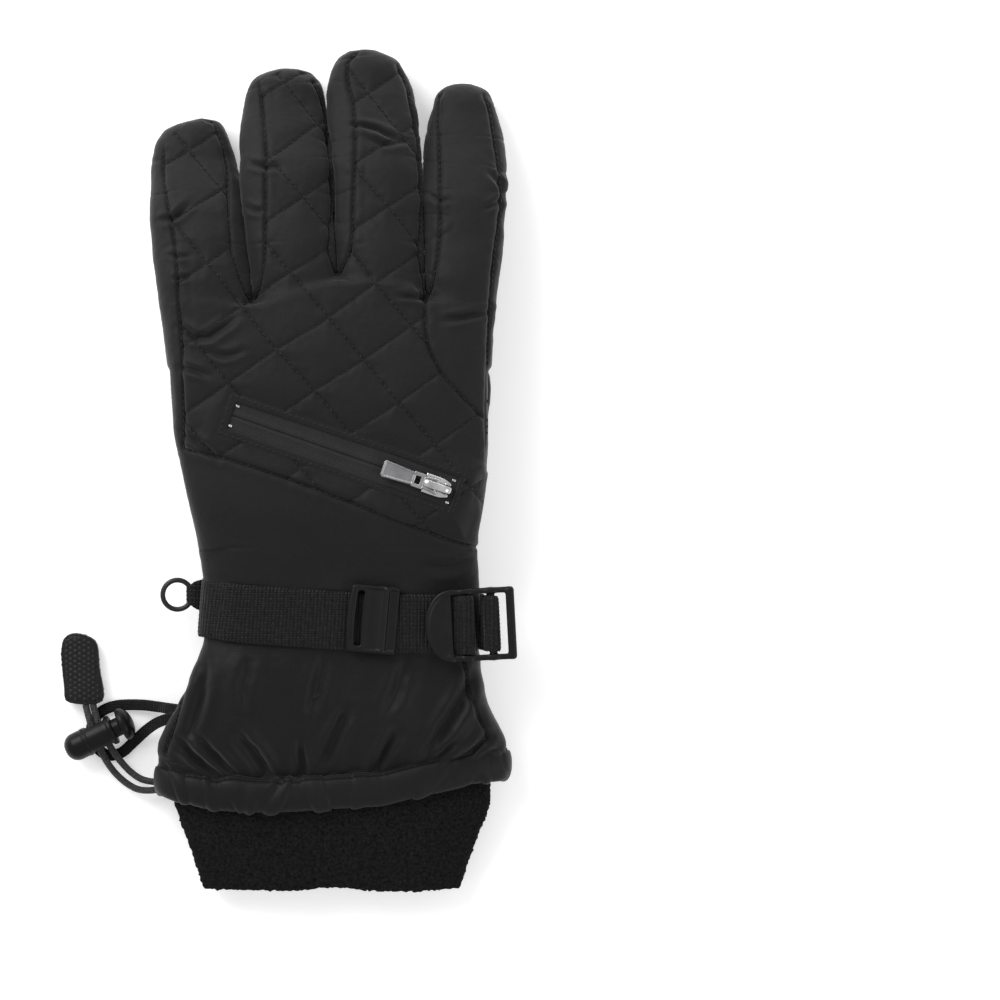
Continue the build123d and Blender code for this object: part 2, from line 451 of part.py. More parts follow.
for i, p in enumerate(ANCHOR):
    q0, q1 = ANCHOR[max(i - 1, 0)], ANCHOR[min(i + 1, len(ANCHOR) - 1)]
    dx, dy = q1[0] - q0[0], q1[1] - q0[1]
    k = hypot(dx, dy)
    rows.append((Plane(origin=p, x_dir=(-dy / k, dx / k, 0), z_dir=(dx / k, dy / k, 0)) * Rectangle(4.4, 1.2)).face())
save("cord_lock_anchor_tape", loft(rows, ruled=True))
print("length of the anchor tape", round(sum((Vector(*b) - Vector(*a)).length for a, b in zip(ANCHOR, ANCHOR[1:])), 1))
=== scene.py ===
"""Looks of the insulated ski glove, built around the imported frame. Lengths below are in mm until a mesh is made."""
import math

import bpy
import numpy as np
import openvdb as vdb
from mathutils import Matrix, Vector


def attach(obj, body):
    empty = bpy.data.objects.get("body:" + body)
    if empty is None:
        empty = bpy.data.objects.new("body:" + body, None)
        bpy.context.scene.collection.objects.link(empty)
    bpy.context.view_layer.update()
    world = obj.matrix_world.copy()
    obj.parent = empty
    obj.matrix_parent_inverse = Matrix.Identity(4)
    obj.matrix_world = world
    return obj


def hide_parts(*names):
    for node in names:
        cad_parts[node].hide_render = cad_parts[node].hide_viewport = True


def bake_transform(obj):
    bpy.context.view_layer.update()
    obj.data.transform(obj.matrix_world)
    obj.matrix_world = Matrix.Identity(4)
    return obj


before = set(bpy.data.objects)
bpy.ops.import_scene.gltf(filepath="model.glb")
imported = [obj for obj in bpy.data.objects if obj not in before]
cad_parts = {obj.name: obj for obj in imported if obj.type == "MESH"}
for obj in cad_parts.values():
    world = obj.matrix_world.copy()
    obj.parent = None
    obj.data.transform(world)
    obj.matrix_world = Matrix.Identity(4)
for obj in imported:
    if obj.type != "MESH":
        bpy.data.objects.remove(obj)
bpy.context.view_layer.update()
scene = bpy.context.scene
rng = np.random.default_rng(11)

# ------------------------------------------------------------------ camera, floor, lights
PX = 0.375


def P(x, y):
    """Plan position of a point given in the drawing grid of the glove's back."""
    return ((x - 332.5) * PX, (470 - y) * PX)


CX, CY = P(500, 500)
cam_data = bpy.data.cameras.new("camera")
cam_data.lens = 150
cam_data.sensor_width = 36
cam = bpy.data.objects.new("camera", cam_data)
scene.collection.objects.link(cam)
cam.location = (CX / 1000, CY / 1000, 0.022 + 0.375 * 150 / 36)
cam.rotation_euler = (0, 0, 0)
cam_data.clip_start, cam_data.clip_end = 0.05, 20
scene.camera = cam

world = bpy.data.worlds.new("world")
scene.world = world
world.use_nodes = True
world.node_tree.nodes["Background"].inputs[0].default_value = (1, 1, 1, 1)
world.node_tree.nodes["Background"].inputs[1].default_value = 0.62
scene.view_settings.view_transform = "Standard"
scene.view_settings.look = "None"


def area(name, loc, size, power, target=(0, 0, 0.02), size_y=None):
    d = bpy.data.lights.new(name, "AREA")
    d.energy = power
    d.shape = "RECTANGLE"
    d.size, d.size_y = size, size_y or size
    o = bpy.data.objects.new(name, d)
    scene.collection.objects.link(o)
    o.location = loc
    o.rotation_euler = (Vector(target) - Vector(loc)).to_track_quat("-Z", "Y").to_euler()
    return o


area("key", (-0.70, 0.75, 0.85), 0.7, 13, size_y=0.9)
area("fill", (0.9, -0.5, 0.9), 0.8, 4)
area("rim", (0.1, 1.3, 0.35), 0.9, 3.5, size_y=0.3)


# ------------------------------------------------------------------ small mesh tools
def mesh_object(name, co, faces, smooth=True):
    """An object from points in mm and an (n, k) array or list of faces."""
    me = bpy.data.meshes.new(name)
    co = np.asarray(co, np.float32) / 1000.0
    if isinstance(faces, np.ndarray):
        n, k = faces.shape
        me.vertices.add(len(co))
        me.vertices.foreach_set("co", co.ravel())
        me.loops.add(n * k)
        me.loops.foreach_set("vertex_index", faces.astype(np.int32).ravel())
        me.polygons.add(n)
        me.polygons.foreach_set("loop_start", np.arange(0, n * k, k, dtype=np.int32))
        me.update(calc_edges=True)
    else:
        me.from_pydata([tuple(map(float, c)) for c in co], [], [tuple(int(i) for i in f) for f in faces])
    me.validate()
    me.polygons.foreach_set("use_smooth", np.full(len(me.polygons), smooth))
    me.update()
    ob = bpy.data.objects.new(name, me)
    scene.collection.objects.link(ob)
    return ob


def read(ob):
    me = ob.data
    co = np.zeros(len(me.vertices) * 3, np.float32)
    me.vertices.foreach_get("co", co)
    return co.reshape(-1, 3) * 1000.0


def normals(ob):
    me = ob.data
    n = np.zeros(len(me.vertices) * 3, np.float32)
    me.vertices.foreach_get("normal", n)
    return n.reshape(-1, 3)


def write(ob, co):
    ob.data.vertices.foreach_set("co", (np.asarray(co, np.float32) / 1000.0).ravel())
    ob.data.update()


def faces_of(ob, k=4):
    f = np.zeros(len(ob.data.loops), np.int32)
    ob.data.loops.foreach_get("vertex_index", f)
    return f.reshape(-1, k)


def apply_modifiers(ob):
    dep = bpy.context.evaluated_depsgraph_get()
    dep.update()
    new = bpy.data.meshes.new_from_object(ob.evaluated_get(dep))
    ob.modifiers.clear()
    old = ob.data
    ob.data = new
    bpy.data.meshes.remove(old)
    return ob


def subdivide(ob, levels=1, kind="CATMULL_CLARK"):
    m = ob.modifiers.new("s", "SUBSURF")
    m.levels = m.render_levels = levels
    m.subdivision_type = kind
    return apply_modifiers(ob)


def bevelled(name, co, faces, width, segments=3, levels=0, smooth=True):
    """A moulded piece: a mesh from given points, with rounded edges."""
    ob = mesh_object(name, co, faces, smooth)
    b = ob.modifiers.new("b", "BEVEL")
    b.width, b.segments, b.limit_method, b.angle_limit = width / 1000, segments, "ANGLE", math.radians(25)
    b.harden_normals = False
    apply_modifiers(ob)
    if levels:
        subdivide(ob, levels)
    ob.data.polygons.foreach_set("use_smooth", np.full(len(ob.data.polygons), smooth))
    w = ob.modifiers.new("w", "WEIGHTED_NORMAL")
    w.keep_sharp = True
    apply_modifiers(ob)
    return ob


def join(name, obs):
    for o in bpy.context.selected_objects:
        o.select_set(False)
    for o in obs:
        o.select_set(True)
    bpy.context.view_layer.objects.active = obs[0]
    bpy.ops.object.join()
    obs[0].name = name
    obs[0].data.name = name
    obs[0].select_set(False)
    return obs[0]


def attribute(ob, name, values):
    a = ob.data.attributes.get(name) or ob.data.attributes.new(name, "FLOAT", "POINT")
    a.data.foreach_set("value", np.asarray(values, np.float32))


def smin(a, b, k):
    h = np.clip(0.5 + 0.5 * (b - a) / k, 0, 1)
    return b * (1 - h) + a * h - k * h * (1 - h)


def step(x, a, b):
    t = np.clip((x - a) / (b - a), 0, 1)
    return t * t * (3 - 2 * t)


_lat = {}


def noise(p, scale, seed=0):
    """Smooth value noise, -1 to 1. p is (n, 3) in mm, scale the size of a lump."""
    key = seed
    if key not in _lat:
        _lat[key] = np.random.default_rng(100 + seed).uniform(-1, 1, (32, 32, 32)).astype(np.float32)
    L = _lat[key]
    q = p / scale + 1000.0
    i = np.floor(q).astype(np.int64)
    f = q - i
    f = f * f * (3 - 2 * f)
    i0, i1 = i % 32, (i + 1) % 32
    out = 0
    for a, xi in ((0, i0), (1, i1)):
        for b, yi in ((0, i0), (1, i1)):
            for c, zi in ((0, i0), (1, i1)):
                w = (f[:, 0] if a else 1 - f[:, 0]) * (f[:, 1] if b else 1 - f[:, 1]) * (f[:, 2] if c else 1 - f[:, 2])
                out = out + w * L[xi[:, 0], yi[:, 1], zi[:, 2]]
    return out


def line_distance(p, line, closed=False):
    """Distance in plan from points (n, 2) to a run of points, and how far along it the nearest point is."""
    pts = np.asarray(line, float)
    if closed:
        pts = np.vstack([pts, pts[:1]])
    best = np.full(len(p), 1e9)
    along = np.zeros(len(p))
    run = 0.0
    for a, b in zip(pts, pts[1:]):
        d = b - a
        L = math.hypot(*d)
        t = np.clip(((p - a) @ d) / (L * L), 0, 1)
        q = p - a - t[:, None] * d
        dist = np.hypot(q[:, 0], q[:, 1])
        m = dist < best
        best[m] = dist[m]
        along[m] = run + t[m] * L
        run += L
    return best, along


def inside(p, poly):
    poly = np.asarray(poly, float)
    x, y = p[:, 0], p[:, 1]
    hit = np.zeros(len(p), bool)
    for (x0, y0), (x1, y1) in zip(poly, np.roll(poly, -1, axis=0)):
        c = ((y0 > y) != (y1 > y)) & (x < (x1 - x0) * (y - y0) / (y1 - y0 + 1e-12) + x0)
        hit ^= c
    return hit


def smooth_line(points, n=8):
    """A rounder run through points: Catmull-Rom."""
    p = np.asarray(points, float)
    q = np.vstack([2 * p[0] - p[1], p, 2 * p[-1] - p[-2]])
    out = []
    for i in range(1, len(q) - 2):
        for t in np.linspace(0, 1, n, endpoint=False):
            a, b, c, d = q[i - 1], q[i], q[i + 1], q[i + 2]
            out.append(0.5 * ((2 * b) + (c - a) * t + (2 * a - 5 * b + 4 * c - d) * t ** 2 + (3 * b - a - 3 * c + d) * t ** 3))
    out.append(p[-1])
    return np.array(out)


# ------------------------------------------------------------------ materials
def tree(name):
    m = bpy.data.materials.new(name)
    m.use_nodes = True
    nt = m.node_tree
    nt.nodes.clear()
    out = nt.nodes.new("ShaderNodeOutputMaterial")
    bsdf = nt.nodes.new("ShaderNodeBsdfPrincipled")
    nt.links.new(bsdf.outputs[0], out.inputs[0])
    return m, nt, bsdf


def node(nt, kind, **kw):
    n = nt.nodes.new(kind)
    for k, v in kw.items():
        if k.startswith("i_"):
            n.inputs[k[2:].replace("_", " ")].default_value = v
        else:
            setattr(n, k, v)
    return n


def fabric(name, dark, light, rough=0.66, weave=0.55, depth=0.25, spec=0.35, sheen=0.12, mottle=30.0, grain=0.0, bump2=0.0, seam=None):
    """Woven cloth: two crossed ribs at weave mm, slow colour drift, optional leather grain or fleece curl, and
    optional painted shade laid into grooves by a per-point weight.
    """
    m, nt, b = tree(name)
    tc = node(nt, "ShaderNodeTexCoord")
    n1 = node(nt, "ShaderNodeTexNoise", i_Scale=mottle, i_Detail=4.0, i_Roughness=0.6)
    nt.links.new(tc.outputs["Object"], n1.inputs["Vector"])
    n2 = node(nt, "ShaderNodeTexNoise", i_Scale=900.0, i_Detail=3.0, i_Roughness=0.7)
    nt.links.new(tc.outputs["Object"], n2.inputs["Vector"])
    mix = node(nt, "ShaderNodeMix", data_type="FLOAT")
    mix.inputs[0].default_value = 0.5
    nt.links.new(n1.outputs["Fac"], mix.inputs[2])
    nt.links.new(n2.outputs["Fac"], mix.inputs[3])
    ramp = node(nt, "ShaderNodeValToRGB")
    ramp.color_ramp.elements[0].position, ramp.color_ramp.elements[1].position = 0.32, 0.68
    ramp.color_ramp.elements[0].color = (*dark, 1)
    ramp.color_ramp.elements[1].color = (*light, 1)
    nt.links.new(mix.outputs[0], ramp.inputs[0])
    color = ramp.outputs[0]
    # painted shade: this colour is mixed in where the point attribute marks a seam, stitch line, gather or rib valley
    if seam:
        at = node(nt, "ShaderNodeAttribute", attribute_name="seam")
        mc = node(nt, "ShaderNodeMix", data_type="RGBA")
        nt.links.new(at.outputs["Fac"], mc.inputs[0])
        nt.links.new(color, mc.inputs[6])
        mc.inputs[7].default_value = (*seam, 1)
        color = mc.outputs[2]
    nt.links.new(color, b.inputs["Base Color"])
    rr = node(nt, "ShaderNodeMapRange")
    rr.inputs[3].default_value, rr.inputs[4].default_value = rough - 0.07, rough + 0.07
    nt.links.new(n1.outputs["Fac"], rr.inputs[0])
    nt.links.new(rr.outputs[0], b.inputs["Roughness"])
    last = None
    if weave:
        waves = []
        for direction in ("X", "Y", "Z"):
            w = node(nt, "ShaderNodeTexWave", wave_type="BANDS", bands_direction=direction, i_Scale=314.0 / weave / 2.0, i_Distortion=0.35, i_Detail=1.0)
            w.inputs["Detail Scale"].default_value = 0.6
            nt.links.new(tc.outputs["Object"], w.inputs["Vector"])
            waves.append(w)
        add = node(nt, "ShaderNodeMath", operation="ADD")
        nt.links.new(waves[0].outputs["Fac"], add.inputs[0])
        nt.links.new(waves[1].outputs["Fac"], add.inputs[1])
        add2 = node(nt, "ShaderNodeMath", operation="ADD")
        nt.links.new(add.outputs[0], add2.inputs[0])
        nt.links.new(waves[2].outputs["Fac"], add2.inputs[1])
        bump = node(nt, "ShaderNodeBump", i_Strength=depth, i_Distance=0.0002)
        nt.links.new(add2.outputs[0], bump.inputs["Height"])
        last = bump
    if grain:
        v = node(nt, "ShaderNodeTexVoronoi", i_Scale=grain)
        nt.links.new(tc.outputs["Object"], v.inputs["Vector"])
        bump = node(nt, "ShaderNodeBump", i_Strength=bump2, i_Distance=0.0003)
        nt.links.new(v.outputs["Distance"], bump.inputs["Height"])
        if last:
            nt.links.new(last.outputs[0], bump.inputs["Normal"])
        last = bump
    fine = node(nt, "ShaderNodeBump", i_Strength=0.18, i_Distance=0.0003)
    nt.links.new(n2.outputs["Fac"], fine.inputs["Height"])
    if last:
        nt.links.new(last.outputs[0], fine.inputs["Normal"])
    nt.links.new(fine.outputs[0], b.inputs["Normal"])
    b.inputs["Specular IOR Level"].default_value = spec
    b.inputs["Sheen Weight"].default_value = sheen
    b.inputs["Sheen Roughness"].default_value = 0.5
    return m


def g(v):
    return (v, v, v * 1.03)


# the last colour given to a cloth is painted shade for its seam, stitch, gather and rib grooves
SHELL = fabric("shell_nylon", g(0.0066), g(0.0106), rough=0.58, weave=0.5, depth=0.07, spec=0.13, seam=g(0.0030))
GAUNT = fabric("gauntlet_nylon", g(0.0040), g(0.0072), rough=0.50, weave=0.5, depth=0.06, spec=0.13, seam=g(0.0012))
SMOOTH = fabric("shell_softshell", g(0.0074), g(0.0114), rough=0.60, weave=0.42, depth=0.06, spec=0.13, seam=g(0.003))
PALM = fabric("palm_synthetic", g(0.0072), g(0.0118), rough=0.60, weave=0.45, depth=0.07, spec=0.18, seam=g(0.003))
THUMB = fabric("thumb_leather", g(0.0036), g(0.0052), rough=0.58, weave=0.0, spec=0.16, grain=1500.0, bump2=0.10, seam=g(0.002))
FLEECE = fabric("fleece", g(0.0006), g(0.0170), rough=0.95, weave=0.0, spec=0.05, sheen=0.02, mottle=950.0, grain=1500.0, bump2=0.8)
LINING = fabric("lining", g(0.004), g(0.008), rough=0.95, weave=0.0, spec=0.05, sheen=0.02, grain=1400.0, bump2=0.4)
WEB = fabric("webbing", g(0.0004), g(0.0150), rough=0.44, weave=0.45, depth=0.35, spec=0.11, mottle=760.0, seam=g(0.0002))
TABM = fabric("pull_tab_cloth", g(0.0045), g(0.0100), rough=0.42, weave=0.45, depth=0.15, spec=0.18, mottle=260.0)
CORD = fabric("cord_braid", g(0.0060), g(0.0400), rough=0.55, weave=0.5, depth=0.5, spec=0.25, mottle=800.0)
TAPE = fabric("zip_tape", g(0.0125), g(0.0195), rough=0.66, weave=0.4, depth=0.12, spec=0.2, sheen=0.0, mottle=200.0)
# the stitches are real thread; their tone, darker than the shell, is painted shade of the stitch holes
THREAD = fabric("thread", g(0.0022), g(0.0050), rough=0.5, weave=0.0, spec=0.22, mottle=600.0)


def plastic(name, color, rough=0.36, spec=0.5, grain=2200.0, depth=0.05, metallic=0.0, wear=0.0, vary=0.25):
    m, nt, b = tree(name)
    tc = node(nt, "ShaderNodeTexCoord")
    n1 = node(nt, "ShaderNodeTexNoise", i_Scale=140.0, i_Detail=5.0, i_Roughness=0.65)
    nt.links.new(tc.outputs["Object"], n1.inputs["Vector"])
    ramp = node(nt, "ShaderNodeValToRGB")
    ramp.color_ramp.elements[0].position, ramp.color_ramp.elements[1].position = 0.3, 0.72
    ramp.color_ramp.elements[0].color = (*[c * (1 - vary) for c in color], 1)
    ramp.color_ramp.elements[1].color = (*[c * (1 + vary) for c in color], 1)
    nt.links.new(n1.outputs["Fac"], ramp.inputs[0])
    col = ramp.outputs[0]
    if wear:
        geo = node(nt, "ShaderNodeNewGeometry")
        wr = node(nt, "ShaderNodeMapRange")
        wr.inputs[1].default_value, wr.inputs[2].default_value = 0.52, 0.62
        nt.links.new(geo.outputs["Pointiness"], wr.inputs[0])
        mx = node(nt, "ShaderNodeMix", data_type="RGBA")
        mul = node(nt, "ShaderNodeMath", operation="MULTIPLY")
        mul.inputs[1].default_value = wear
        nt.links.new(wr.outputs[0], mul.inputs[0])
        nt.links.new(mul.outputs[0], mx.inputs[0])
        nt.links.new(col, mx.inputs[6])
        mx.inputs[7].default_value = (*[min(1, c * 2.2 + 0.01) for c in color], 1)
        col = mx.outputs[2]
    nt.links.new(col, b.inputs["Base Color"])
    rr = node(nt, "ShaderNodeMapRange")
    rr.inputs[3].default_value, rr.inputs[4].default_value = rough - 0.06, rough + 0.08
    nt.links.new(n1.outputs["Fac"], rr.inputs[0])
    nt.links.new(rr.outputs[0], b.inputs["Roughness"])
    n2 = node(nt, "ShaderNodeTexNoise", i_Scale=grain, i_Detail=2.0)
    nt.links.new(tc.outputs["Object"], n2.inputs["Vector"])
    bump = node(nt, "ShaderNodeBump", i_Strength=depth, i_Distance=0.0002)
    nt.links.new(n2.outputs["Fac"], bump.inputs["Height"])
    nt.links.new(bump.outputs[0], b.inputs["Normal"])
    b.inputs["Specular IOR Level"].default_value = spec
    b.inputs["Metallic"].default_value = metallic
    return m


BLACK = plastic("buckle_black", g(0.0055), rough=0.38, spec=0.19, wear=0.6)
LOCKM = plastic("lock_black", g(0.0042), rough=0.34, spec=0.16, wear=0.4)
RINGM = plastic("ring_black", g(0.009), rough=0.36, spec=0.35, wear=0.5)
GUN = plastic("gunmetal", (0.42, 0.42, 0.43), rough=0.26, metallic=1.0, spec=0.5, wear=0.3)
SATIN = plastic("pull_satin", (0.30, 0.30, 0.31), rough=0.32, metallic=0.9, spec=0.5, wear=0.3)
STEEL = plastic("stop_steel", (0.62, 0.62, 0.63), rough=0.25, metallic=1.0)
COILM = plastic("coil_nylon", g(0.020), rough=0.4)


def grip_material():
    """Embossed grip cloth: raised hexagons about 1.6 mm apart."""
    m, nt, b = tree("grip_print")
    tc = node(nt, "ShaderNodeTexCoord")
    mp = node(nt, "ShaderNodeMapping")
    mp.inputs["Scale"].default_value = (1, 1, 0.0)
    nt.links.new(tc.outputs["Object"], mp.inputs["Vector"])
    v = node(nt, "ShaderNodeTexVoronoi", feature="DISTANCE_TO_EDGE", i_Scale=640.0, i_Randomness=0.12)
    nt.links.new(mp.outputs[0], v.inputs["Vector"])
    ramp = node(nt, "ShaderNodeValToRGB")
    ramp.color_ramp.elements[0].position, ramp.color_ramp.elements[1].position = 0.04, 0.22
    ramp.color_ramp.elements[0].color = (0.0035, 0.0035, 0.0037, 1)
    ramp.color_ramp.elements[1].color = (0.030, 0.030, 0.031, 1)
    nt.links.new(v.outputs["Distance"], ramp.inputs[0])
    nt.links.new(ramp.outputs[0], b.inputs["Base Color"])
    bump = node(nt, "ShaderNodeBump", i_Strength=0.9, i_Distance=0.0005)
    nt.links.new(ramp.outputs[0], bump.inputs["Height"])
    nt.links.new(bump.outputs[0], b.inputs["Normal"])
    b.inputs["Roughness"].default_value = 0.5
    b.inputs["Specular IOR Level"].default_value = 0.45
    return m


GRIP = grip_material()


def floor_material():
    m, nt, b = tree("floor_paper")
    tc = node(nt, "ShaderNodeTexCoord")
    n = node(nt, "ShaderNodeTexNoise", i_Scale=60.0, i_Detail=4.0)
    nt.links.new(tc.outputs["Object"], n.inputs["Vector"])
    r = node(nt, "ShaderNodeValToRGB")
    r.color_ramp.elements[0].color = (0.90, 0.90, 0.90, 1)
    r.color_ramp.elements[1].color = (0.93, 0.93, 0.93, 1)
    nt.links.new(n.outputs["Fac"], r.inputs[0])
    nt.links.new(r.outputs[0], b.inputs["Base Color"])
    b.inputs["Roughness"].default_value = 0.85
    b.inputs["Specular IOR Level"].default_value = 0.1
    b.inputs["Emission Color"].default_value = (1, 1, 1, 1)
    b.inputs["Emission Strength"].default_value = 0.34
    geo, clear, mix = node(nt, "ShaderNodeNewGeometry"), node(nt, "ShaderNodeBsdfTransparent"), node(nt, "ShaderNodeMixShader")
    nt.links.new(geo.outputs["Backfacing"], mix.inputs[0])
    nt.links.new(b.outputs[0], mix.inputs[1])
    nt.links.new(clear.outputs[0], mix.inputs[2])
    nt.links.new(mix.outputs[0], nt.nodes["Material Output"].inputs[0])
    return m


floor = mesh_object("floor", [(-3000, -3000, -0.3), (3000, -3000, -0.3), (3000, 3000, -0.3), (-3000, 3000, -0.3)], np.array([[0, 1, 2, 3]]), smooth=False)
floor.data.materials.append(floor_material())

# ------------------------------------------------------------------ outlines of the glove's back, from above
EDGE_L = [(300, 163), (310, 165), (330, 169.5), (350, 171.5), (370, 172.5), (390, 173.5), (410, 175), (430, 176.5), (450, 180), (470, 184), (490, 188), (510, 192.5), (530, 197), (550, 200), (572, 203), (590, 205), (625, 205), (645, 203), (660, 197), (675, 189.5), (690, 182), (710, 174), (730, 164), (745, 158), (760, 154), (790, 154), (806, 160)]
EDGE_R = [(300, 495), (310, 494), (330, 491), (350, 490), (370, 489), (390, 489), (410, 489), (430, 489), (450, 489), (470, 488), (490, 486), (510, 483), (530, 479), (550, 477), (575, 478), (600, 479), (625, 479), (650, 478), (670, 479), (690, 482), (710, 489.5), (730, 499), (745, 505), (760, 508), (790, 505), (806, 494)]
FINGER_EDGES = {
    # y, left, right
    "pinky": [(116.5, 203, 204), (118, 195, 212), (120, 186, 216), (125, 171, 220), (130, 162.5, 223), (140, 155, 226.5), (150, 152.5, 230.5), (160, 150.5, 234), (170, 150, 237), (180, 150, 239), (200, 150.5, 243), (220, 151.5, 246), (240, 153, 249), (260, 155, 251.5), (280, 157.5, 254), (303, 161, 257), (330, 166, 260), (370, 172, 262)],
    "ring": [(66.5, 286, 287), (68, 274, 299), (70, 267, 307), (75, 257, 313.5), (80, 251, 318), (90, 246, 321.5), (100, 243, 324), (110, 241.5, 325.8), (120, 241, 327.5), (140, 240, 330.5), (160, 240.5, 333), (180, 241, 335), (200, 242.5, 337), (220, 245, 338.5), (240, 247.5, 339.5), (260, 250, 340.5), (278, 252, 340), (303, 254, 343), (350, 258, 347)],
    "middle": [(47.5, 359, 360), (49, 350, 370), (51, 345, 377), (55, 338, 389), (60, 334, 397), (70, 329.5, 403.5), (80, 327.5, 407.5), (90, 326.5, 411.5), (100, 326.5, 414.5), (110, 326.5, 416), (130, 326.8, 418), (150, 327.5, 420.5), (170, 329, 422.5), (200, 331, 425), (230, 333, 426.5), (260, 335.5, 427.5), (278, 338, 427), (303, 341, 428), (350, 345, 432)],
    "index": [(81.5, 462, 463), (83, 451, 473), (85, 446, 480), (90, 438.5, 487), (95, 435.5, 490), (100, 433.5, 492), (110, 431.5, 495), (120, 429, 498.5), (130, 427, 501.5), (140, 425.5, 503), (150, 424.5, 504.5), (170, 423, 505.5), (190, 421.5, 505.5), (220, 421.3, 504), (240, 421.8, 502), (260, 422.3, 500), (280, 423.5, 497), (301, 426, 495), (330, 428, 491), (370, 430, 489)],
}
FZ = {  # y (mm): height of the middle, half thickness
    "pinky": (-47.6, 71.5, -53.2, 131.2, 0.42),
    "ring": (-15.6, 80.5, -17.6, 151.8, 0.42),
    "middle": (17.9, 80.5, 13.4, 157.9, 0.43),
    "index": (48.6, 72.5, 49.6, 145.6, 0.42),
}
# side profile of the hand: y mm, underside, top at the middle
PROFILE = [(-129, 5.0, 20.4), (-122, 4.2, 22.2), (-113, 2.6, 24.6), (-106, 1.6, 27.4), (-98, 2.0, 29.8), (-88, 3.4, 31.2), (-74, 5.4, 32.0), (-66, 6.8, 32.0), (-52, 8.6, 32.0), (-42, 10.0, 32.6), (-36, 11.4, 34.6), (-28, 14.2, 39.0), (-18, 16.8, 42.6), (-8, 17.4, 43.4), (30, 17.4, 43.6), (46, 17.4, 43.2), (62, 17.4, 41.4), (80, 17.4, 39.6)]
CUT = {"pinky": 64.5, "ring": 73.2, "middle": 73.2, "index": 65.2}

V = 1.12  # voxel
gx = np.arange(-76, 76 + V, V)
gy = np.arange(-134, 164 + V, V)
gz = np.arange(-4, 54 + V, V)


def blur(a, n):
    k = np.hanning(2 * n + 3)[1:-1]
    k /= k.sum()
    return np.convolve(np.pad(a, n, "edge"), k, "valid")


def section(cx, w, cz, h, p):
    """Signed distance, near the surface, to a flattened round section given at each gy."""
    p = np.broadcast_to(p, gy.shape)[None, :, None]
    x = gx[:, None, None] - cx[None, :, None]
    z = gz[None, None, :] - cz[None, :, None]
    w = np.maximum(w, 0.3)[None, :, None]
    h = np.maximum(h, 0.3)[None, :, None]
    u, v = np.abs(x) / w, np.abs(z) / h
    r = np.maximum((u ** p + v ** p) ** (1 / p), 0.15)
    gxn, gzn = (u / r) ** (p - 1) / w, (v / r) ** (p - 1) / h
    return ((r - 1) / np.sqrt(gxn ** 2 + gzn ** 2 + 1e-9)).astype(np.float32)


def hand_field(inset=0.0):
    yl = np.array([(470 - a) * PX for a, b in EDGE_L])[::-1]
    xl = np.array([(b - 332.5) * PX for a, b in EDGE_L])[::-1]
    yr = np.array([(470 - a) * PX for a, b in EDGE_R])[::-1]
    xr = np.array([(b - 332.5) * PX for a, b in EDGE_R])[::-1]
    L, R = blur(np.interp(gy, yl, xl), 2), blur(np.interp(gy, yr, xr), 2)
    pr = np.array(PROFILE)
    zb, zt = blur(np.interp(gy, pr[:, 0], pr[:, 1]), 4), blur(np.interp(gy, pr[:, 0], pr[:, 2]), 4)
    f = section((L + R) / 2, (R - L) / 2 - inset, (zb + zt) / 2, (zt - zb) / 2 - inset, np.interp(gy, [-40, -18, 36, 58], [2.9, 3.9, 3.9, 2.9]))
    return f


def finger_field(name):
    t = np.array(FINGER_EDGES[name], float)
    t[:, 0] -= 2.2 * np.clip(1 - (t[:, 0] - t[0, 0]) / 40.0, 0, 1)
    y = ((470 - t[:, 0]) * PX)[::-1]
    L, R = ((t[:, 1] - 332.5) * PX)[::-1], ((t[:, 2] - 332.5) * PX)[::-1]
    l, r = np.interp(gy, y, L), np.interp(gy, y, R)
    x0, y0, x1, y1, share = FZ[name]
    tip = y[-1]
    ym = y0 + (y1 - y0) * share
    cz = np.interp(gy, [y0 - 30, y0, ym, tip - 14, tip], [29.4, 28.4, 22.6, 10.4, 7.6])
    cz = blur(cz, 5)
    h = np.interp(gy, [y0 - 30, y0, ym, tip - 16], [11.4, 10.9, 10.4, 9.3])
    cap = np.clip((gy - (tip - 10.0)) / 10.3, 0, 0.9985)
    h = h * (1 - cap ** 2.4) ** 0.5
    f = section((l + r) / 2, (r - l) / 2 + 0.35, cz, h + 0.2, 2.35)
    f = np.where((gy > tip)[None, :, None] | (gy < y[0])[None, :, None], 6.0, f)
    return f.astype(np.float32)


H = hand_field()
# the hand stops inside the fingers
front = np.interp(gx, [-70, -31, -28, -2, 2, 30, 34, 38, 70], [62, 61, 61, 69, 70, 68, 62, 62, 60])
H = np.maximum(H, (gy[None, :, None] - front[:, None, None]) * 0.8).astype(np.float32)
HEM_LINE = np.array([P(*q) for q in ((150, 775), (158, 779), (178, 787), (216, 794), (268, 796), (318, 793), (382, 788), (433, 777), (472, 768), (505, 765), (516, 764))])
hem_end = np.interp(gx, HEM_LINE[:, 0], HEM_LINE[:, 1]) - 1.0
H = np.maximum(H, hem_end[:, None, None] - gy[None, :, None]).astype(np.float32)
F = {n: finger_field(n) for n in FINGER_EDGES}
K = 2.6
# hollow of the gauntlet, round the inner cuff
G = np.maximum(hand_field(2.6), (gy - (-84.0))[None, :, None] * 0.9)


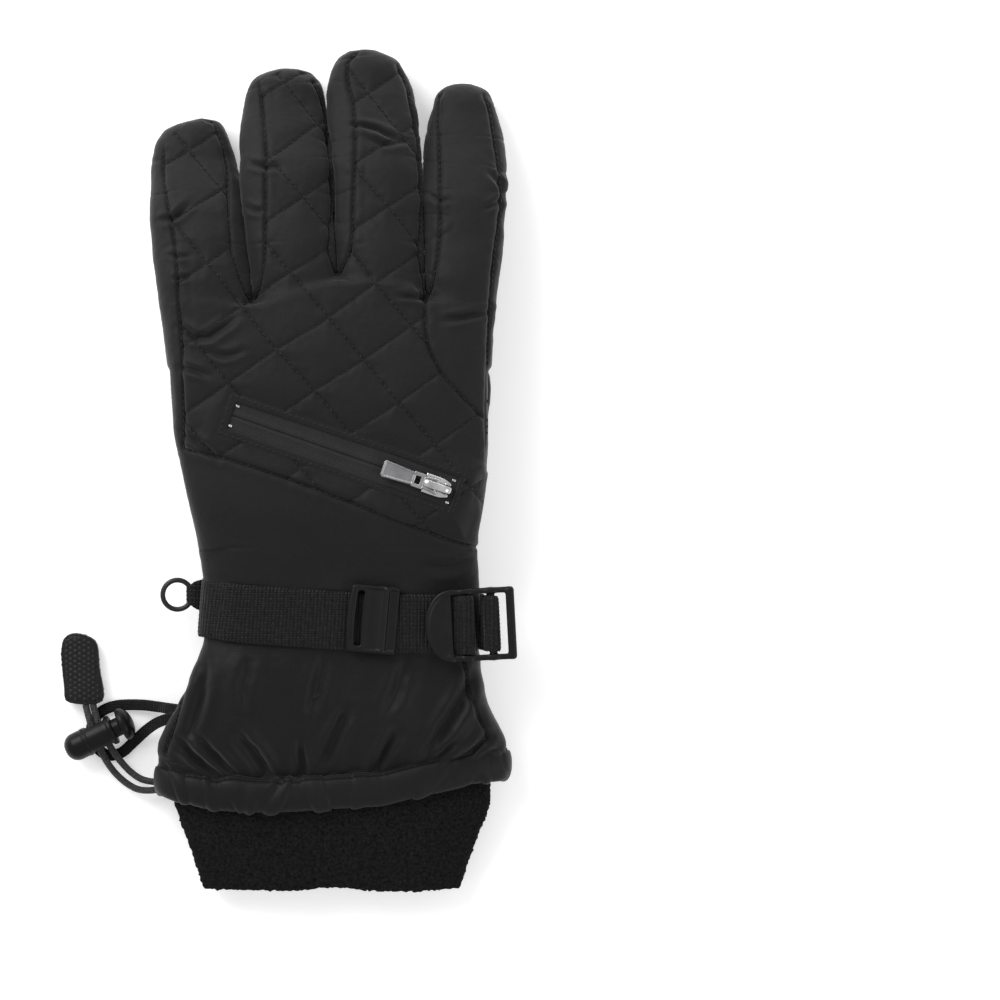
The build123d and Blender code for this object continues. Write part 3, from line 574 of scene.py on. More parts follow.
def field_to_mesh(name, f):
    grid = vdb.FloatGrid()
    grid.copyFromArray(np.ascontiguousarray(f, dtype=np.float32), tolerance=0.0)
    pts, quads = grid.convertToQuads(0.0)
    pts, quads = np.array(pts, float), np.array(quads, np.int64)
    co = np.column_stack([gx[0] + pts[:, 0] * V, gy[0] + pts[:, 1] * V, gz[0] + pts[:, 2] * V])
    a, b, c, d = (co[quads[:, i]] for i in range(4))
    vol = (np.einsum("ij,ij->i", a, np.cross(b, c)) + np.einsum("ij,ij->i", a, np.cross(c, d))).sum()
    if vol < 0:
        quads = quads[:, ::-1]
    # Taubin smoothing
    e = np.vstack([quads[:, [i, (i + 1) % 4]] for i in range(4)])
    e = np.vstack([e, e[:, ::-1]])
    deg = np.bincount(e[:, 0], minlength=len(co)).astype(float)
    for lam in (0.55, -0.57) * 5:
        s = np.column_stack([np.bincount(e[:, 0], weights=co[e[:, 1], k], minlength=len(co)) for k in range(3)])
        co = co + lam * (s / deg[:, None] - co)
    ob = mesh_object(name, co, quads)
    return subdivide(ob)


# ------------------------------------------------------------------ seams, quilting and folds of the back
def Q(points):
    return [P(*p) for p in points]


QUILT_PANEL = Q([(178, 262), (182, 308), (186, 357), (187, 449), (244, 464), (317, 489), (431, 533), (478, 547), (488, 470), (487, 421), (462, 398), (440, 371), (428, 342), (426, 301), (339, 270), (255, 295), (222, 285)])
FINGER_PANELS = [Q(s) for s in (
    [(170, 135), (163, 150), (163, 171), (173, 224), (179, 258), (182, 308), (254, 302), (246, 290), (233, 246), (228, 176), (220, 140), (213, 122), (205, 119), (185, 121)],
    [(256, 300), (264, 280), (267, 246), (267, 171), (264, 120), (258, 82), (285, 66), (312, 72), (312, 80), (322, 105), (331, 161), (333, 210), (331, 250), (338, 277)],
    [(341, 277), (352, 248), (354, 210), (356, 137), (353, 103), (348, 84), (347, 62), (356, 48), (375, 46), (397, 60), (407, 88), (417, 137), (421, 185), (421, 258), (425, 300)],
)]
# folds: points, depth mm, width mm
FOLDS_TOP = [(Q(a), b, c) for a, b, c in (
    ([(181, 330), (204, 340), (222, 333), (242, 318)], 1.25, 1.5),
    ([(209, 352), (228, 358), (250, 353)], 0.9, 1.3),
    ([(184, 368), (202, 373), (213, 379)], 1.0, 1.3),
    ([(184, 433), (205, 446), (223, 461)], 1.0, 1.3),
    ([(442, 323), (473, 318.6), (492, 313)], 1.1, 1.4),
    ([(398, 298), (413, 299), (426, 302)], 0.9, 1.1),
    ([(250, 164), (265, 168.5), (280, 169)], 1.0, 1.3),
    ([(347, 125), (378, 132), (403, 143)], 1.2, 1.2),
    ([(366, 140), (388, 146), (410, 142)], 0.8, 1.2),
    ([(160, 223), (178, 218.6), (193, 203)], 1.0, 1.2),
    ([(171, 257), (193, 259)], 0.7, 1.0),
    ([(175, 281), (194, 279)], 0.7, 1.0),
    ([(488, 172), (500, 186), (506, 200)], 0.9, 1.2),
    ([(484, 212), (497, 205), (505, 196)], 0.8, 1.2),
    ([(428, 196), (441, 202), (452, 203)], 0.7, 1.2),
    ([(244, 206), (256, 212), (268, 213)], 0.7, 1.1),
    ([(474, 668), (462, 700), (441, 735), (424, 762)], 1.5, 2.4),
    ([(325, 655), (318, 690), (311, 718)], 0.9, 2.4),
    ([(351, 708), (339, 730), (322, 768)], 1.3, 1.9),
    ([(176, 738), (203, 763), (222, 775)], 1.3, 1.6),
    ([(199, 736), (225, 763), (238, 778)], 1.2, 1.6),
    ([(238, 728), (262, 760), (273, 782)], 1.3, 1.8),
    ([(300, 738), (304, 760), (301, 780)], 1.1, 1.6),
    ([(398, 728), (382, 755), (373, 777)], 1.3, 1.8),
    ([(458, 738), (438, 758), (424, 770)], 1.2, 1.6),
    ([(494, 732), (471, 752), (455, 765)], 1.2, 1.6),
    ([(208, 660), (201, 700), (187, 742)], 1.1, 2.2),
    ([(252, 655), (244, 690), (248, 712)], 0.7, 2.4),
    ([(405, 660), (398, 690), (384, 715)], 0.8, 2.4),
    ([(206, 560), (232, 548), (262, 545)], 0.6, 2.2),
    ([(474, 556), (452, 566), (425, 568)], 0.7, 2.0),
)]
SEAMS = [Q(s) for s in (
    [(163, 150), (163, 171), (173, 224), (179, 258), (182, 308), (186, 357), (187, 449)],
    [(205, 119), (213, 122), (220, 140), (228, 176), (233, 246), (246, 290), (254, 302)],
    [(258, 82), (264, 120), (267, 171), (267, 246), (264, 280), (256, 300)],
    [(312, 80), (322, 105), (331, 161), (333, 210), (331, 250), (338, 277)],
    [(356, 51), (347, 62), (348, 84), (353, 103), (356, 137), (354, 210), (352, 248), (341, 277)],
    [(397, 63), (407, 88), (417, 137), (421, 185), (421, 258), (425, 300)],
    [(441, 90), (437, 105), (440, 176), (440, 234), (434, 282), (427, 300)],
    [(484, 93), (491, 118), (501, 197), (494, 258), (489, 330), (487, 421), (488, 470)],
    [(426, 301), (428, 342), (440, 371), (462, 398), (487, 421)],
    [(187, 449), (244, 464), (317, 489), (431, 533), (478, 547)],
    [(196, 600), (190, 660), (176, 720), (166, 752)],
    [(463, 660), (472, 700), (490, 742)],
)]
LAT0, LA, LB = np.array(P(329, 318)), np.array([13.3, -15.9]), np.array([18.0, 12.4])
LM = np.linalg.inv(np.column_stack([LA, LB]))
AREA = abs(LA[0] * LB[1] - LA[1] * LB[0])
ZA, ZB = np.array([-36.75, 20.05]), np.array([45.95, -8.4])
ZD = (ZB - ZA) / np.linalg.norm(ZB - ZA)
ZN = np.array([-ZD[1], ZD[0]])
ZC = (ZA + ZB) / 2
ZLEN = np.linalg.norm(ZB - ZA)


def lattice(p):
    """Distance to the quilting's lines in plan."""
    w = p + np.column_stack([noise(np.column_stack([p, p[:, :1] * 0]), 24, 3), noise(np.column_stack([p, p[:, :1] * 0]), 24, 4)]) * 0.8
    ij = (w - LAT0) @ LM.T
    di = np.abs(ij[:, 0] - np.round(ij[:, 0])) * AREA / np.linalg.norm(LB)
    dj = np.abs(ij[:, 1] - np.round(ij[:, 1])) * AREA / np.linalg.norm(LA)
    return di, dj


def zone_of(p):
    """Which finger's strip a point lies in: 0 pinky, 1 ring, 2 middle, 3 index."""
    y = 470 - p[:, 1] / PX
    b1 = np.interp(y, [60, 185, 303, 340], [236, 240.5, 255, 262])
    b2 = np.interp(y, [60, 110, 278, 340], [324, 325.5, 339, 342])
    b3 = np.interp(y, [60, 175, 301, 340], [421, 422.5, 426, 428])
    x = p[:, 0] / PX + 332.5
    return (x > b1).astype(int) + (x > b2) + (x > b3)


# seams and prints of the palm side, in plan, seen through from the back
def U(x, y):
    return (-(x - 728) * PX, (y - 520) * PX)


PATCH = [U(*p) for p in ((690, 470), (722, 468), (768, 464), (795, 474), (812, 494), (822, 525), (827, 570), (828, 605), (822, 628), (806, 652), (760, 600), (715, 520))]
PATCH2 = [U(*p) for p in ((583, 635), (600, 640), (640, 660), (662, 688), (636, 693), (603, 686), (588, 660))]
PALM_SEAMS = [[U(*p) for p in s] for s in (
    [(838, 445), (858, 560), (860, 640), (848, 700)],
    [(600, 700), (603, 760), (604, 830), (612, 880)],
    [(636, 735), (634, 800), (630, 850), (624, 880)],
    [(676, 740), (680, 800), (690, 860), (694, 905)],
    [(722, 748), (724, 810), (724, 870), (716, 905)],
    [(760, 740), (764, 790), (772, 840), (778, 880)],
    [(812, 720), (816, 780), (816, 830), (808, 875)],
    [(846, 700), (856, 750), (862, 800), (868, 830)],
    [(886, 690), (892, 740), (896, 790), (892, 825)],
)]
TRAPEZE = [U(*p) for p in ((598, 215), (660, 300), (740, 296), (803, 254))]


def displaced(ob):
    co, n = read(ob), normals(ob)
    p = co[:, :2]
    y = p[:, 1]
    top = step(n[:, 2], -0.15, 0.45)
    under = step(-n[:, 2], 0.05, 0.5)
    zs, zn = (p - ZC) @ ZD, (p - ZC) @ ZN
    zw = 5.3 + 0.6 * (zs / ZLEN + 0.5)
    zbox = np.maximum(np.abs(zs) - ZLEN / 2, np.abs(zn) - zw)
    rise = step(-zbox, -10.0, -2.0) * (n[:, 2] > 0.3)
    co[:, 2] += rise * (43.0 - co[:, 2])
    out = np.zeros(len(co))
    # weights of painted shade along seams, quilting stitch lines, elastic gathers and palm seams
    seam = np.zeros(len(co))
    zone = zone_of(p)
    # quilting
    on_panel = inside(p, QUILT_PANEL)
    on_finger = inside(p, FINGER_PANELS[0]) | inside(p, FINGER_PANELS[1]) | inside(p, FINGER_PANELS[2])
    quilted = (on_panel | on_finger) & (n[:, 2] > 0.05)
    di, dj = lattice(p)
    d = np.minimum(di, dj)
    edge = np.full(len(co), 99.0)
    for s in SEAMS:
        dd, _ = line_distance(p, smooth_line(s, 5))
        edge = np.minimum(edge, dd)
    zs, zn = (p - ZC) @ ZD, (p - ZC) @ ZN
    zw = 5.3 + 0.6 * (zs / ZLEN + 0.5)
    zbox = np.maximum(np.abs(zs) - ZLEN / 2, np.abs(zn) - zw)  # distance outside the zip window
    q = quilted & (zbox > 2.6)
    dq = np.minimum(d, np.maximum(zbox - 2.6, 0) + 1.5)
    puff = 0.80 * (1 - np.exp(-(dq / 3.6) ** 1.25)) - 0.42 - 0.34 * np.exp(-(dq / 0.6) ** 2)
    pucker = 0.26 * np.exp(-(d / 2.4) ** 2) * noise(co, 2.4, 5)
    out += np.where(q, (puff + pucker), 0.0) * top
    # painted shade along the quilting's stitch grooves
    seam = np.maximum(seam, np.where(q, 0.9 * np.exp(-(d / 0.42) ** 2), 0) * top)
    # seams of the back
    w_top = step(n[:, 2], -0.35, 0.15)
    ridge = -0.95 * np.exp(-(edge / 0.7) ** 2) + 0.16 * np.exp(-((edge - 2.4) / 1.5) ** 2)
    zpass = step(zbox, 1.0, 3.5)
    out += ridge * w_top * zpass * (1 + 0.35 * noise(co, 5.0, 6))
    for line_, depth_, width_ in FOLDS_TOP:
        lo_, hi_ = np.min(line_, axis=0) - 9, np.max(line_, axis=0) + 9
        m_ = (p[:, 0] > lo_[0]) & (p[:, 0] < hi_[0]) & (p[:, 1] > lo_[1]) & (p[:, 1] < hi_[1]) & (n[:, 2] > -0.2)
        if not m_.any():
            continue
        sl = smooth_line(line_, 6)
        dd, al = line_distance(p[m_] + 0.35 * np.column_stack([noise(co[m_], 4.0, 71), noise(co[m_], 4.0, 72)]), sl)
        total = np.hypot(*np.diff(sl, axis=0).T).sum()
        tap = np.sin(np.pi * np.clip(al / total, 0.02, 0.98)) ** 0.7
        width_ = width_ * 0.85
        out[m_] += tap * depth_ * (1.3 if line_[0][1] > -40 else 1.75) * (-np.exp(-(dd / width_) ** 2) + 0.5 * np.exp(-((dd - 2.1 * width_) / (1.3 * width_)) ** 2)) * w_top[m_]
    out += 0.22 * np.exp(-(edge / 4.0) ** 2) * noise(co, 3.2, 7) * w_top
    # painted shade along the seams of the back
    seam = np.maximum(seam, np.exp(-(edge / 0.65) ** 2) * w_top * zpass)
    # finger puffs: soft cross creases where the finger folds
    fing = step(y, 62, 72)
    out += fing * 0.36 * noise(co * [0.55, 1.25, 1.0], 9.0, 8)
    bent = np.column_stack([co[:, 0] * 0.5, y * 1.5 + 3.5 * noise(co, 11.0, 21), co[:, 2] * 0.6])
    crease = np.abs(noise(bent, 15.0, 9))
    nearseam = np.exp(-(edge / 5.0) ** 2)
    out -= fing * 0.8 * np.exp(-(crease / 0.07) ** 2) * np.maximum(0.42 * nearseam, under)
    # hand and gauntlet: long soft folds
    out += (1 - fing) * 0.42 * noise(co, 22.0, 10) * (1 - 0.8 * np.exp(-np.maximum(np.abs(y + 56) - 9, 0) / 4.0))
    smooth_panel = (~on_panel) & (y < 62) & (y > -30)
    out += np.where(smooth_panel, 0.5 * noise(co * [1, 0.5, 1], 14.0, 11), 0) * top
    # pulled in by the strap, with folds that run along the hand from it
    strap = np.abs(y - (-55.5 - 0.07 * p[:, 0]))
    nearstrap = np.exp(-np.maximum(strap - 12, 0) / 9.0)
    folds = noise(np.column_stack([p[:, 0], y * 0.16, co[:, 2] * 0.5]), 7.5, 12)
    out += np.where(y < 2, 1.0, 0.0) * nearstrap * 0.55 * folds * (1 - step(-strap, -11.5, -9.5))
    # the elastic shirring of the palm side of the wrist
    sh = step(y, -62, -54) * (1 - step(y, -33, -27)) * under
    ruch = np.sin((p[:, 0] + 2.6 * noise(np.column_stack([p * [0.4, 1.2], p[:, :1] * 0]), 9.0, 13)) / 6.2 * 2 * math.pi + 1.1 * np.sin(y / 4.2))
    rows = np.exp(-((y + 52.5) / 1.3) ** 2) + np.exp(-((y + 43.5) / 1.3) ** 2) + np.exp(-((y + 34.5) / 1.3) ** 2)
    out += sh * (1.5 * ruch - 1.7 * rows + 0.5 * noise(co, 4.0, 14))
    # painted shade in the gather rows of the elastic
    seam = np.maximum(seam, sh * rows * 0.8)
    # gauntlet: diagonal folds and gathers up from the hem
    gaunt = 1 - step(y, -74, -64)
    fold1 = np.abs(noise(np.column_stack([p[:, 0] * 0.8 + y * 0.55, y * 0.42 - p[:, 0] * 0.2, co[:, 2] * 0.5]), 17.0, 15))
    out += gaunt * (1.2 * noise(co * [1, 0.7, 1], 17.0, 16) - 1.0 * under * np.exp(-(fold1 / 0.12) ** 2))
    hem_y = np.interp(p[:, 0], [-66, -53, -41, -26, -5, 19, 38, 52, 66], [-107.8, -112, -115, -115, -115, -113.4, -109.6, -106, -105.4])
    gather = np.exp(-np.maximum(y - hem_y, 0) / 9.0)
    teeth = noise(np.column_stack([p[:, 0] - 0.22 * (y - hem_y) * noise(co, 30, 17), 0 * y, co[:, 2] * 0.4]), 3.6, 18)
    out += gaunt * gather * (0.75 * teeth)
    out -= gaunt * 1.2 * np.exp(-np.maximum(y - hem_y, 0) / 2.2)
    out += under * (y < -58) * np.exp(-np.maximum(-(y + 60), 0) / 15.0) * 1.9 * noise(np.column_stack([p[:, 0] + 0.25 * y, y * 0.13, 0 * y]), 5.6, 22)
    out += under * (y > -32) * (y < 0) * np.exp(-np.maximum(y + 31, 0) / 7.0) * 1.1 * noise(np.column_stack([p[:, 0], y * 0.13, 0 * y]), 5.0, 23)
    # palm side
    pe = np.full(len(co), 99.0)
    for s in PALM_SEAMS:
        dd, _ = line_distance(p, smooth_line(s, 5))
        pe = np.minimum(pe, dd)
    out += under * (-1.0 * np.exp(-(pe / 0.9) ** 2) + 0.35 * np.exp(-((pe - 2.4) / 1.5) ** 2))
    # painted shade along the palm's seams
    seam = np.maximum(seam, under * np.exp(-(pe / 0.6) ** 2))
    te, ta = line_distance(p, TRAPEZE)
    out -= under * 0.7 * np.exp(-(te / 1.0) ** 2)
    # painted shade along the trapeze seam
    seam = np.maximum(seam, under * 0.8 * np.exp(-(te / 0.6) ** 2))
    for poly in (PATCH, PATCH2):
        dp, _ = line_distance(p, poly, closed=True)
        ins = inside(p, poly)
        out += under * np.where(ins, 0.35, -0.55 * np.exp(-(dp / 1.1) ** 2))
    # zip window: the panel stops at a welt, and the tape lies lower
    sunk = step(-zbox, -0.2, 0.9)
    target = 40.4 + 0 * zs
    out += 0.06 * noise(co, 2.0, 19)
    co = co + n * out[:, None]
    t = top * (zbox < 7.0)
    co[:, 2] = np.where(t > 0, co[:, 2] * (1 - sunk) + target * sunk, co[:, 2])
    hole = ((co[:, 2] < 0.35))
    co[:, 2] = np.where(hole, 0.35, co[:, 2])
    write(ob, co)
    attribute(ob, "seam", np.clip(seam, 0, 1))
    return ob


def split_faces(ob, keep_fn, name):
    """A new object of the faces that keep_fn picks."""
    co, f = read(ob), faces_of(ob)
    c = co[f].mean(axis=1)
    keep = keep_fn(c)
    f = f[keep]
    used = np.unique(f)
    remap = np.full(len(co), -1)
    remap[used] = np.arange(len(used))
    new = mesh_object(name, co[used], remap[f])
    new.data.normals_split_custom_set_from_vertices([tuple(map(float, v)) for v in normals(ob)[used]])
    # carries the painted shade weights of the grooves over to the piece
    vals = np.zeros(len(co), np.float32)
    ob.data.attributes["seam"].data.foreach_get("value", vals)
    attribute(new, "seam", vals[used])
    return new


def assign(ob, mats, index):
    for m in mats:
        ob.data.materials.append(m)
    ob.data.polygons.foreach_set("material_index", index.astype(np.int32))
    ob.data.update()


def face_centres(ob):
    return read(ob)[faces_of(ob)].mean(axis=1)


def face_normal_z(ob):
    n = np.zeros(len(ob.data.polygons) * 3, np.float32)
    ob.data.polygons.foreach_get("normal", n)
    return n.reshape(-1, 3)[:, 2]


def paint(ob):
    c, nz = face_centres(ob), face_normal_z(ob)
    p = c[:, :2]
    zone = zone_of(p)
    idx = np.zeros(len(c), int)
    smooth_side = (c[:, 1] > -16) & (((zone == 3) & (c[:, 1] > 62)) | ((c[:, 1] <= 64) & (c[:, 1] > 6) & ~inside(p, QUILT_PANEL) & (p[:, 0] > 30)))
    idx[smooth_side] = 1
    idx[c[:, 1] < -64] = 5
    mid = np.interp(c[:, 1], [-130, -60, -20, 60, 90, 120, 150], [13, 19, 30, 29, 24, 15, 9])
    palm = (c[:, 2] < mid - 2.0) & (nz < 0.1) & (c[:, 1] > -28)
    idx[palm] = 2
    grip = palm & (nz < -0.3) & (inside(p, PATCH) | inside(p, PATCH2))
    idx[grip] = 3
    inner = (c[:, 1] < -84) & (c[:, 1] > -126) & (np.abs(c[:, 0] + 2) < 62)
    assign(ob, [SHELL, SMOOTH, PALM, GRIP, LINING, GAUNT], idx)


def quilt_lines():
    """The quilting's runs, each as points in plan, cut to the panels."""
    runs = []
    for fam in (0, 1):
        a_, b_ = (LA, LB) if fam == 0 else (LB, LA)
        for k_ in range(-10, 11):
            t_ = np.arange(-10, 10, 0.6 / np.linalg.norm(b_))
            w_ = LAT0 + k_ * a_ + t_[:, None] * b_
            q_ = w_.copy()
            for _ in range(3):
                z3 = np.column_stack([q_, 0 * q_[:, :1]])
                q_ = w_ - np.column_stack([noise(z3, 24, 3), noise(z3, 24, 4)]) * 0.8
            zs_, zn_ = (q_ - ZC) @ ZD, (q_ - ZC) @ ZN
            ok = inside(q_, QUILT_PANEL) | inside(q_, FINGER_PANELS[0]) | inside(q_, FINGER_PANELS[1]) | inside(q_, FINGER_PANELS[2])
            ok &= np.maximum(np.abs(zs_) - ZLEN / 2, np.abs(zn_) - 5.6) > 2.4
            run = []
            for pt, good in zip(q_, ok):
                if good:
                    run.append(pt)
                elif len(run) > 4:
                    runs.append(np.array(run))
                    run = []
                else:
                    run = []
    return runs


ZBORDER = []
for sx_, sy_ in ((-1, 1), (1, 1), (1, -1), (-1, -1), (-1, 1)):
    ZBORDER.append(ZC + sx_ * (ZLEN / 2 + 1.9) * ZD + sy_ * 7.3 * ZN)
TOP_RUNS = quilt_lines() + [smooth_line(s_, 6) for s_ in SEAMS] + [np.array(ZBORDER)]
EL = [[(x_, y_ + 0.6 * math.sin(x_ / 5)) for x_ in np.arange(-44, 50, 2.0)] for y_ in (-52.5, -43.5, -34.5)]
UNDER_RUNS = [smooth_line(s_, 5) for s_ in PALM_SEAMS] + [np.array(TRAPEZE, float)] + [np.array(e_) for e_ in EL] + [np.array(PATCH + PATCH[:1], float), np.array(PATCH2 + PATCH2[:1], float)]


def capsule(a, m, b, nrm, r):
    """One stitch: a bent thread, sunk at both ends. Returns points and quads."""
    d = b - a
    side = np.cross(d, nrm)
    side /= np.linalg.norm(side) + 1e-9
    pts_ = []
    for t_, lift, k_ in ((0.0, -0.16, 0.35), (0.18, 0.06, 0.95), (0.5, 0.16, 1.0), (0.82, 0.06, 0.95), (1.0, -0.16, 0.35)):
        c = a * (1 - t_) + b * t_ + (m - (a + b) / 2) * (4 * t_ * (1 - t_)) + nrm * lift
        for u_, v_ in ((1, 0), (0, 1), (-1, 0), (0, -1)):
            pts_.append(c + (side * u_ + nrm * v_) * r * k_)
    q_ = []
    for i in range(4):
        for j in range(4):
            q_.append((i * 4 + j, i * 4 + (j + 1) % 4, (i + 1) * 4 + (j + 1) % 4, (i + 1) * 4 + j))
    q_ += [(3, 2, 1, 0), (16, 17, 18, 19)]
    return pts_, q_


def sew(ob, length=1.5, gap=0.85, r=0.23):
    """Adds the stitches whose places are on this skin."""
    from mathutils.bvhtree import BVHTree
    co, f = read(ob), faces_of(ob)
    tree_ = BVHTree.FromPolygons([tuple(map(float, v)) for v in co], [tuple(map(int, v)) for v in f])
    lo_, hi_ = co.min(0), co.max(0)
    verts, quads = [], []
    for runs, z0, dz in ((TOP_RUNS, 70.0, -1.0), (UNDER_RUNS, -20.0, 1.0)):
        for run in runs:
            run = np.asarray(run, float)
            if (run[:, 0].max() < lo_[0]) or (run[:, 0].min() > hi_[0]) or (run[:, 1].max() < lo_[1]) or (run[:, 1].min() > hi_[1]):
                continue
            L = np.r_[0, np.cumsum(np.hypot(*np.diff(run, axis=0).T))]
            for s0 in np.arange(gap, L[-1] - length, length + gap):
                hits = []
                for s_ in (s0, s0 + length / 2, s0 + length):
                    x_, y_ = np.interp(s_, L, run[:, 0]), np.interp(s_, L, run[:, 1])
                    h_, nn, _, _ = tree_.ray_cast(Vector((x_, y_, z0)), Vector((0, 0, dz)), 200.0)
                    if h_ is None or nn.z * dz > -0.25:
                        hits = None
                        break
                    hits.append((np.array(h_), np.array(nn)))
                if not hits or max(abs(hits[0][0][2] - hits[1][0][2]), abs(hits[2][0][2] - hits[1][0][2])) > 1.6:
                    continue
                v_, q_ = capsule(hits[0][0], hits[1][0], hits[2][0], hits[1][1], r)
                base_ = len(verts)
                verts += v_
                quads += [tuple(base_ + i for i in q) for q in q_]
    if not verts:
        return ob
    st = mesh_object(ob.name + "_thread", verts, np.array(quads))
    st.data.materials.append(THREAD)
    return join(ob.name, [ob, st])


allf = H
for n_ in F:
    allf = smin(allf, F[n_], K)
allf = np.maximum(allf, -G)
pieces = {}
whole = displaced(field_to_mesh("glove_all", allf))


def hand_keep(c):
    z = zone_of(c[:, :2])
    cut = np.array([CUT["pinky"], CUT["ring"], CUT["middle"], CUT["index"]])[z]
    return c[:, 1] < cut


hand = split_faces(whole, hand_keep, "glove_hand")
bpy.data.objects.remove(whole)
paint(hand)
hand = sew(hand)
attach(hand, "root")
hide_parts("back_quilted_panel", "back_wrist_panel", "palm_panel", "pinky_side_panel", "thumb_side_panel", "palm_grip_patch", "back_insulation", "palm_insulation", "hand_lining", "wrist_elastic", "gauntlet_back_panel", "gauntlet_palm_panel", "gauntlet_lining", "pocket_bag")

for k, name in enumerate(F):
    fi = smin(H, F[name], K)
    # only the grid round this finger
    sub = fi.copy()
    sub[:, gy < CUT[name] - 10, :] = 5.0
    ob = displaced(field_to_mesh(name + "_all", sub))
    x0, y0, x1, y1, share = FZ[name]
    L = math.hypot(x1 - x0, y1 - y0)
    dx, dy = (x1 - x0) / L, (y1 - y0) / L
    L0 = L * share
    mid_cut = L0 * 0.5

    def along(c):
        return (c[:, 0] - x0) * dx + (c[:, 1] - y0) * dy

    base = split_faces(ob, lambda c: (zone_of(c[:, :2]) == k) & (c[:, 1] >= CUT[name]) & (along(c) < mid_cut), f"{name}_finger_skin")
    tip = split_faces(ob, lambda c: (zone_of(c[:, :2]) == k) & (along(c) >= mid_cut), f"{name}_fingertip_skin") if False else split_faces(ob, lambda c: along(c) >= mid_cut, f"{name}_fingertip_skin")
    bpy.data.objects.remove(ob)
    for o in (base, tip):
        paint(o)
    base, tip = sew(base), sew(tip)
    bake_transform(base)
    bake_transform(tip)
    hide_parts(name + "_finger_base_shell", name + "_finger_base_liner")
    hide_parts(name + "_fingertip_shell", name + "_fingertip_liner")
# ------------------------------------------------------------------ moulded pieces from distance fields
class Frame:
    """A flat local frame: origin in mm and a turn about Z."""

    def __init__(self, x, y, z, degrees):
        self.o = np.array([x, y, z], float)
        c, s = math.cos(math.radians(degrees)), math.sin(math.radians(degrees))
        self.m = np.array([[c, -s, 0], [s, c, 0], [0, 0, 1.0]])

    def out(self, p):
        return np.asarray(p, float) @ self.m.T + self.o

    def vec(self, p):
        return np.asarray(p, float) @ self.m.T


WORLD = Frame(0, 0, 0, 0)


def rbox(p, c, h, r):
    q = [np.abs(p[i] - c[i]) - (h[i] - r) for i in range(3)]
    o = np.sqrt(np.maximum(q[0], 0) ** 2 + np.maximum(q[1], 0) ** 2 + np.maximum(q[2], 0) ** 2)
    return o + np.minimum(np.maximum(np.maximum(q[0], q[1]), q[2]), 0) - r


def rod(p, a, b, r):
    a, b = np.array(a, float), np.array(b, float)
    d = b - a
    t = np.clip(sum((p[i] - a[i]) * d[i] for i in range(3)) / (d @ d), 0, 1)
    return np.sqrt(sum((p[i] - a[i] - t * d[i]) ** 2 for i in range(3))) - r


def disc(u, w, c, half, R, r):
    """Round bar: u is the distance from its axis, w the place along it."""
    q0, q1 = u - (R - r), np.abs(w - c) - (half - r)
    return np.sqrt(np.maximum(q0, 0) ** 2 + np.maximum(q1, 0) ** 2) + np.minimum(np.maximum(q0, q1), 0) - r


def poly_sdf(x, y, poly):
    poly = np.asarray(poly, float)
    d = np.full(np.broadcast(x, y).shape, 1e9)
    sgn = np.zeros(d.shape, bool)
    for (x0, y0), (x1, y1) in zip(poly, np.roll(poly, -1, axis=0)):
        ex, ey = x1 - x0, y1 - y0
        t = np.clip(((x - x0) * ex + (y - y0) * ey) / (ex * ex + ey * ey), 0, 1)
        d = np.minimum(d, (x - x0 - t * ex) ** 2 + (y - y0 - t * ey) ** 2)
        if y0 != y1:
            sgn ^= ((y0 > y) != (y1 > y)) & (x < (x1 - x0) * (y - y0) / (y1 - y0) + x0)
    d = np.sqrt(d)
    return np.where(sgn, -d, d)


def extruded(d2, z, zc, hz, r):
    q0, q1 = d2 + r, np.abs(z - zc) - (hz - r)
    return np.sqrt(np.maximum(q0, 0) ** 2 + np.maximum(q1, 0) ** 2) + np.minimum(np.maximum(q0, q1), 0) - r


def smax(a, b, k):
    return -smin(-a, -b, k)


def moulded(name, lo, hi, v, fn, fr=WORLD, rounds=2, sub=0):
    lo, hi = np.array(lo, float) - 2 * v, np.array(hi, float) + 2 * v
    ax = [np.arange(lo[i], hi[i] + v, v) for i in range(3)]
    p = (ax[0][:, None, None], ax[1][None, :, None], ax[2][None, None, :])
    f = np.broadcast_to(fn(p), (len(ax[0]), len(ax[1]), len(ax[2])))
    grid = vdb.FloatGrid()
    grid.copyFromArray(np.ascontiguousarray(np.clip(f, -3 * v, 3 * v), dtype=np.float32), tolerance=0.0)
    pts, quads = grid.convertToQuads(0.0)
    pts, quads = np.array(pts, float), np.array(quads, np.int64)
    co = lo + pts * v
    a, b, c, d = (co[quads[:, i]] for i in range(4))
    vol = (np.einsum("ij,ij->i", a, np.cross(b, c)) + np.einsum("ij,ij->i", a, np.cross(c, d))).sum()
    if vol < 0:
        quads = quads[:, ::-1]
    e = np.vstack([quads[:, [i, (i + 1) % 4]] for i in range(4)])
    e = np.vstack([e, e[:, ::-1]])
    deg = np.bincount(e[:, 0], minlength=len(co)).astype(float)
    for lam in (0.5, -0.52) * rounds:
        sm = np.column_stack([np.bincount(e[:, 0], weights=co[e[:, 1], k], minlength=len(co)) for k in range(3)])
        co = co + lam * (sm / deg[:, None] - co)
    ob = mesh_object(name, fr.out(co), quads)
    return subdivide(ob) if sub else ob


def finish_piece(ob, mat, body, slot_name, *nodes):
    ob.data.materials.clear()
    ob.data.materials.append(mat)
    if body:
        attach(ob, body)
    if nodes:
        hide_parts(*nodes)
    return ob


def resample(path, ds, dense=12):
    p = smooth_line(path, dense) if dense else np.asarray(path, float)
    L = np.r_[0, np.cumsum(np.linalg.norm(np.diff(p, axis=0), axis=1))]
    s = np.linspace(0, L[-1], max(int(round(L[-1] / ds)), 4) + 1)
    return np.column_stack([np.interp(s, L, p[:, i]) for i in range(p.shape[1])]), s


